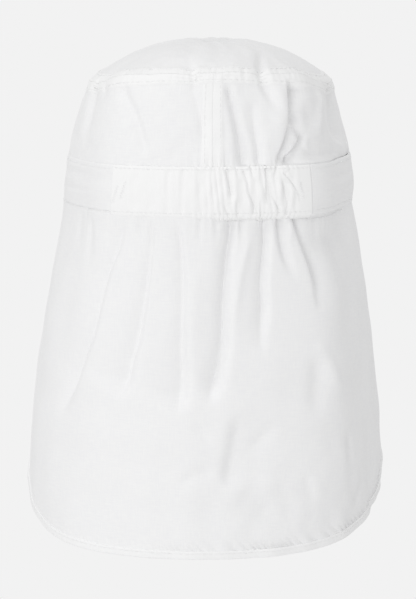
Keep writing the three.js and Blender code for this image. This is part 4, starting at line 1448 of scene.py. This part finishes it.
    def build(self, cotton: Cloth, thread: Cloth) -> list[Piece]:
        """Make and dress the flap, its hem and its stitches.

        Args:
            cotton: The cloth's finish.
            thread: The stitches' finish.

        Returns:
            The pieces.
        """
        sheet = dress(self.sheet(), cotton, "flap_cotton", "neck_flap")
        hem = dress(self.hem(), cotton, "flap_cotton")
        stitches = stitch_piece("hem_stitching", [self._hem_row()], Stitch.TOPSTITCH)
        dress(stitches, thread, "flap_cotton")
        return [sheet, hem, stitches]


# Peak

PEAK_UV = (80.0, 120.0)  # half its cloth across, and all of it from the root over the top and back below


@dataclass
class Peak:
    """The front peak: cloth over a stiffener, with rows of topstitching.

    Attributes:
        form: The hat's main form.
        length: How far it reaches at its middle.
        end_length: How far at its ends.
        thickness: Of the whole peak.
        inset: How far its root lies under the headband.
        roundness: 2 for a plain oval front edge, more for a squarer one.
        droop: Its slope at the middle.
        side_droop: How much steeper it is at its ends.
        forward: How much of each place's direction is straight ahead, the rest square to the head.
        rows: Millimetres from its edge to each stitched row.
        quilt: The cloth's waves between the rows.
        fold: Shares round its skin between which it turns from the top to the underside.
    """

    form: HatForm = FORM
    length: float = 54.0
    end_length: float = 7.0
    thickness: float = 2.6
    inset: float = 2.0
    roundness: float = 2.4
    droop: float = math.radians(20.0)
    side_droop: float = math.radians(22.0)
    forward: float = 0.55
    rows: tuple[float, ...] = (2.6, 9.0, 16.0, 23.0, 30.0, 37.0, 44.0)
    quilt: Crumple = Crumple(0.12, 11.0, 71)
    fold: tuple[float, float] = (0.46, 0.54)

    @property
    def half_turn(self) -> float:
        """Half the turn that the peak takes up: each end lies about 1.5 mm from the flap's front edge."""
        return math.pi - self.form.top_turn - 3.0 / (self.form.head_width / 2 + self.form.head_length / 2)

    def middle(self, side: Grid, reach: Grid, lift: Grid) -> Grid:
        """Places in the peak.

        Args:
            side: -1 to 1 from one end to the other.
            reach: Millimetres from its root.
            lift: Millimetres above its underside.

        Returns:
            The places, in millimetres.
        """
        turn = math.pi + side * self.half_turn
        width, length = self.form.head_width, self.form.head_length
        root = self.form.oval(width / 2, length / 2, turn, -0.3 - self.thickness, -self.inset)
        out_x, out_y = -length * np.sin(turn), width * np.cos(turn)
        size = np.hypot(out_x, out_y)
        ahead_x, ahead_y = mix(out_x / size, 0.0, self.forward), mix(out_y / size, -1.0, self.forward)
        size = np.hypot(ahead_x, ahead_y)
        droop = self.droop + self.side_droop * side * side
        root[..., 0] += reach * np.cos(droop) * ahead_x / size
        root[..., 1] += reach * np.cos(droop) * ahead_y / size - lift * np.sin(droop)
        root[..., 2] += -reach * np.sin(droop) + lift * np.cos(droop)
        return root

    def full_reach(self, side: Grid) -> Grid:
        """How far the peak reaches at each side place."""
        roundness = np.sqrt(np.maximum(0.0, 1.0 - np.abs(side) ** self.roundness))
        return self.inset + mix(self.end_length, self.length, roundness)

    def skin(self, side: Grid, turned: Grid) -> Grid:
        """The peak's whole skin.

        Args:
            side: -1 to 1 from one end to the other.
            turned: 0 to 1 from the root over the top, round the edge and back below.

        Returns:
            The places, in millimetres.
        """
        first, last = self.fold
        full, half = self.full_reach(side), self.thickness / 2
        bend = np.clip((turned - first) / (last - first), 0.0, 1.0) * math.pi
        on_top, below = turned <= first, turned >= last
        flat_reach = np.clip(np.where(on_top, turned, 1.0 - turned) / first, 0.0, 1.0) * (full - half)
        reach = np.where(on_top | below, flat_reach, full - half + half * np.sin(bend))
        level = np.where(on_top, half, np.where(below, -half, half * np.cos(bend)))
        dents = sum(bell((full - reach - row) / 0.6) * (reach > 3.0) for row in self.rows)
        quilt = self.quilt.height(side * PEAK_UV[0], reach) * (1.0 - dents)
        swell = np.where(level > 0, 1.0, -1.0) * (quilt - 0.32 * dents) * (on_top | below)
        closing = smoothstep(reach, 0.0, 1.5)
        return self.middle(side, reach, half + (level + swell) * mix(0.2, 1.0, closing))

    def stitch_rows(self) -> list[Row]:
        """The stitched rows, on the top and on the underside."""
        rows, half = [], self.thickness / 2
        for row in self.rows:
            side = np.linspace(-0.985, 0.985, 260)
            reach = self.full_reach(side) - row
            side, reach = side[reach > 4.0], reach[reach > 4.0]
            for face in (1.0, -1.0):
                lift = half + face * (half - 0.3)
                places = self.middle(side, reach, lift)
                rows.append((places, (self.middle(side, reach, lift + 1.0) - places) * face))
        return rows

    def build(self, cotton: Cloth, thread: Cloth) -> list[Piece]:
        """Make and dress the peak and its stitches.

        Args:
            cotton: The cloth's finish.
            thread: The stitches' finish.

        Returns:
            The pieces.
        """
        first, last = self.fold
        rounds = spaced((0.0, first, 96), (first, last, 10), (last, 1.0, 96))
        piece = grid_mesh("peak_cloth", spaced((-1.0, 1.0, 150)), rounds, self.skin, flat_uv(*PEAK_UV))
        mend(piece, 0.02)
        dress(piece, cotton, "band_cotton", "peak")
        stitches = stitch_piece("peak_topstitching", self.stitch_rows(), Stitch.TOPSTITCH)
        return [piece, dress(stitches, thread, "band_cotton")]


# Studio


@dataclass
class Studio:
    """The pale floor, the plain backdrop, the soft lights and the camera.

    Attributes:
        distance: From the camera to its aim, in metres.
        pixel_mm: Millimetres of hat for one pixel of the picture.
        picture_height: In pixels.
        elevation: How far the camera stands above level.
        turn: How far it stands beside the centre back.
        aim: Where it looks: millimetres beside and above the frame's origin.
        backdrop: Colour of the backdrop.
        around: Strength of the even light from all sides.
        lamps: Name, place in metres and power of each soft lamp.
        lamp_size: Side of a lamp, in metres.
    """

    distance: float = 2.6
    pixel_mm: float = 0.5294
    picture_height: int = 599
    elevation: float = math.radians(6.5)
    turn: float = math.radians(-1.1)
    aim: tuple[float, float] = (0.8, -52.0)
    backdrop: str = "#f2f2f2"
    around: float = 0.709
    lamps: tuple[tuple[str, tuple[float, float, float], float], ...] = (
        ("key", (0.75, 2.05, -0.23), 9.05),
        ("high key", (1.46, 0.84, 1.41), 4.4),
        ("top light", (0.0, 0.19, 2.19), 5.6),
        ("fill", (-1.72, 0.8, -1.1), 4.0),
    )
    lamp_size: float = 0.8

    def _paper(self, name: str, colour: str, glow: float) -> Cloth:
        """Seamless studio paper, matt.

        Args:
            name: The material's name.
            colour: The paper's.
            glow: Above 0 the paper shines evenly by itself.

        Returns:
            The material.
        """
        material, tree = new_material(name)
        if glow > 0:
            paper = add_node(tree, "Emission", Color=linear(colour), Strength=glow)
        else:
            paper = add_node(tree, "BsdfPrincipled", Base_Color=linear(colour), Roughness=0.95)
        add_node(tree, "OutputMaterial", Surface=paper.outputs[0])
        return material

    def stage(self) -> None:
        """The floor under the held hat and the dome behind it."""
        bm = bmesh.new()
        bmesh.ops.create_circle(bm, cap_ends=True, segments=96, radius=0.8)
        bmesh.ops.translate(bm, verts=bm.verts, vec=(0.0, 0.0, -0.42))
        floor = finished("studio_floor", bm)
        floor.data.materials.append(self._paper("floor paper", "#f0f0f0", 0.0))
        bm = bmesh.new()
        bmesh.ops.create_uvsphere(bm, u_segments=64, v_segments=32, radius=6.0)
        dome = finished("studio_backdrop", bm)
        dome.data.materials.append(self._paper("backdrop paper", self.backdrop, 1.0))
        dome.visible_diffuse = dome.visible_glossy = dome.visible_shadow = False
        dome.visible_transmission = dome.visible_volume_scatter = False

    def lights(self) -> None:
        """Even light from all sides, and the soft lamps."""
        world = bpy.data.worlds.new("studio light")
        bpy.context.scene.world = world
        world.use_nodes = True
        background = world.node_tree.nodes["Background"].inputs
        background["Color"].default_value = (1.0, 1.0, 1.0, 1.0)
        background["Strength"].default_value = self.around
        for name, place, power in self.lamps:
            lamp = bpy.data.lights.new(name, "AREA")
            lamp.energy, lamp.size = power, self.lamp_size
            holder = bpy.data.objects.new(name, lamp)
            holder.location = place
            towards = Vector((0.0, 0.0, -0.05)) - Vector(place)
            holder.rotation_euler = towards.to_track_quat("-Z", "Y").to_euler()
            bpy.context.scene.collection.objects.link(holder)

    def camera(self) -> None:
        """A long lens, square to the back of the hat and a little above it."""
        data = bpy.data.cameras.new("camera")
        data.sensor_fit = "VERTICAL"
        data.sensor_height = 36.0
        data.lens = data.sensor_height * self.distance / (self.picture_height * self.pixel_mm * MM)
        data.clip_end = 50.0
        holder = bpy.data.objects.new("camera", data)
        beside, behind = math.sin(self.turn), math.cos(self.turn)
        aim = Vector((self.aim[0] * behind, self.aim[0] * beside, self.aim[1])) * MM
        level, above = math.cos(self.elevation), math.sin(self.elevation)
        back = Vector((-beside * level, behind * level, above))
        holder.location = aim + back * self.distance
        holder.rotation_euler = back.to_track_quat("Z", "Y").to_euler()
        bpy.context.scene.collection.objects.link(holder)
        bpy.context.scene.camera = holder

    def build(self) -> None:
        """Set up the studio."""
        self.stage()
        self.lights()
        self.camera()
        bpy.context.scene.view_settings.view_transform = "Standard"


def main() -> None:
    """Build the hat's pieces in order, then the studio."""
    logging.basicConfig(level=logging.INFO, format="%(message)s")
    crown_cotton = CottonFinish("crown cotton poplin").build()
    band_cotton = CottonFinish("band cotton poplin").build()
    flap_cotton = CottonFinish("flap cotton poplin").build()
    thread = ThreadFinish().build()
    parts = ((Crown(), crown_cotton), (Rim(), band_cotton), (NeckFlap(), flap_cotton), (Peak(), band_cotton))
    for part, cotton in parts:
        for piece in part.build(cotton, thread):
            log.info("%s: %d faces", piece.name, len(piece.data.polygons))
    Studio().build()
    log.info("studio set")


if __name__ == "__main__":
    main()
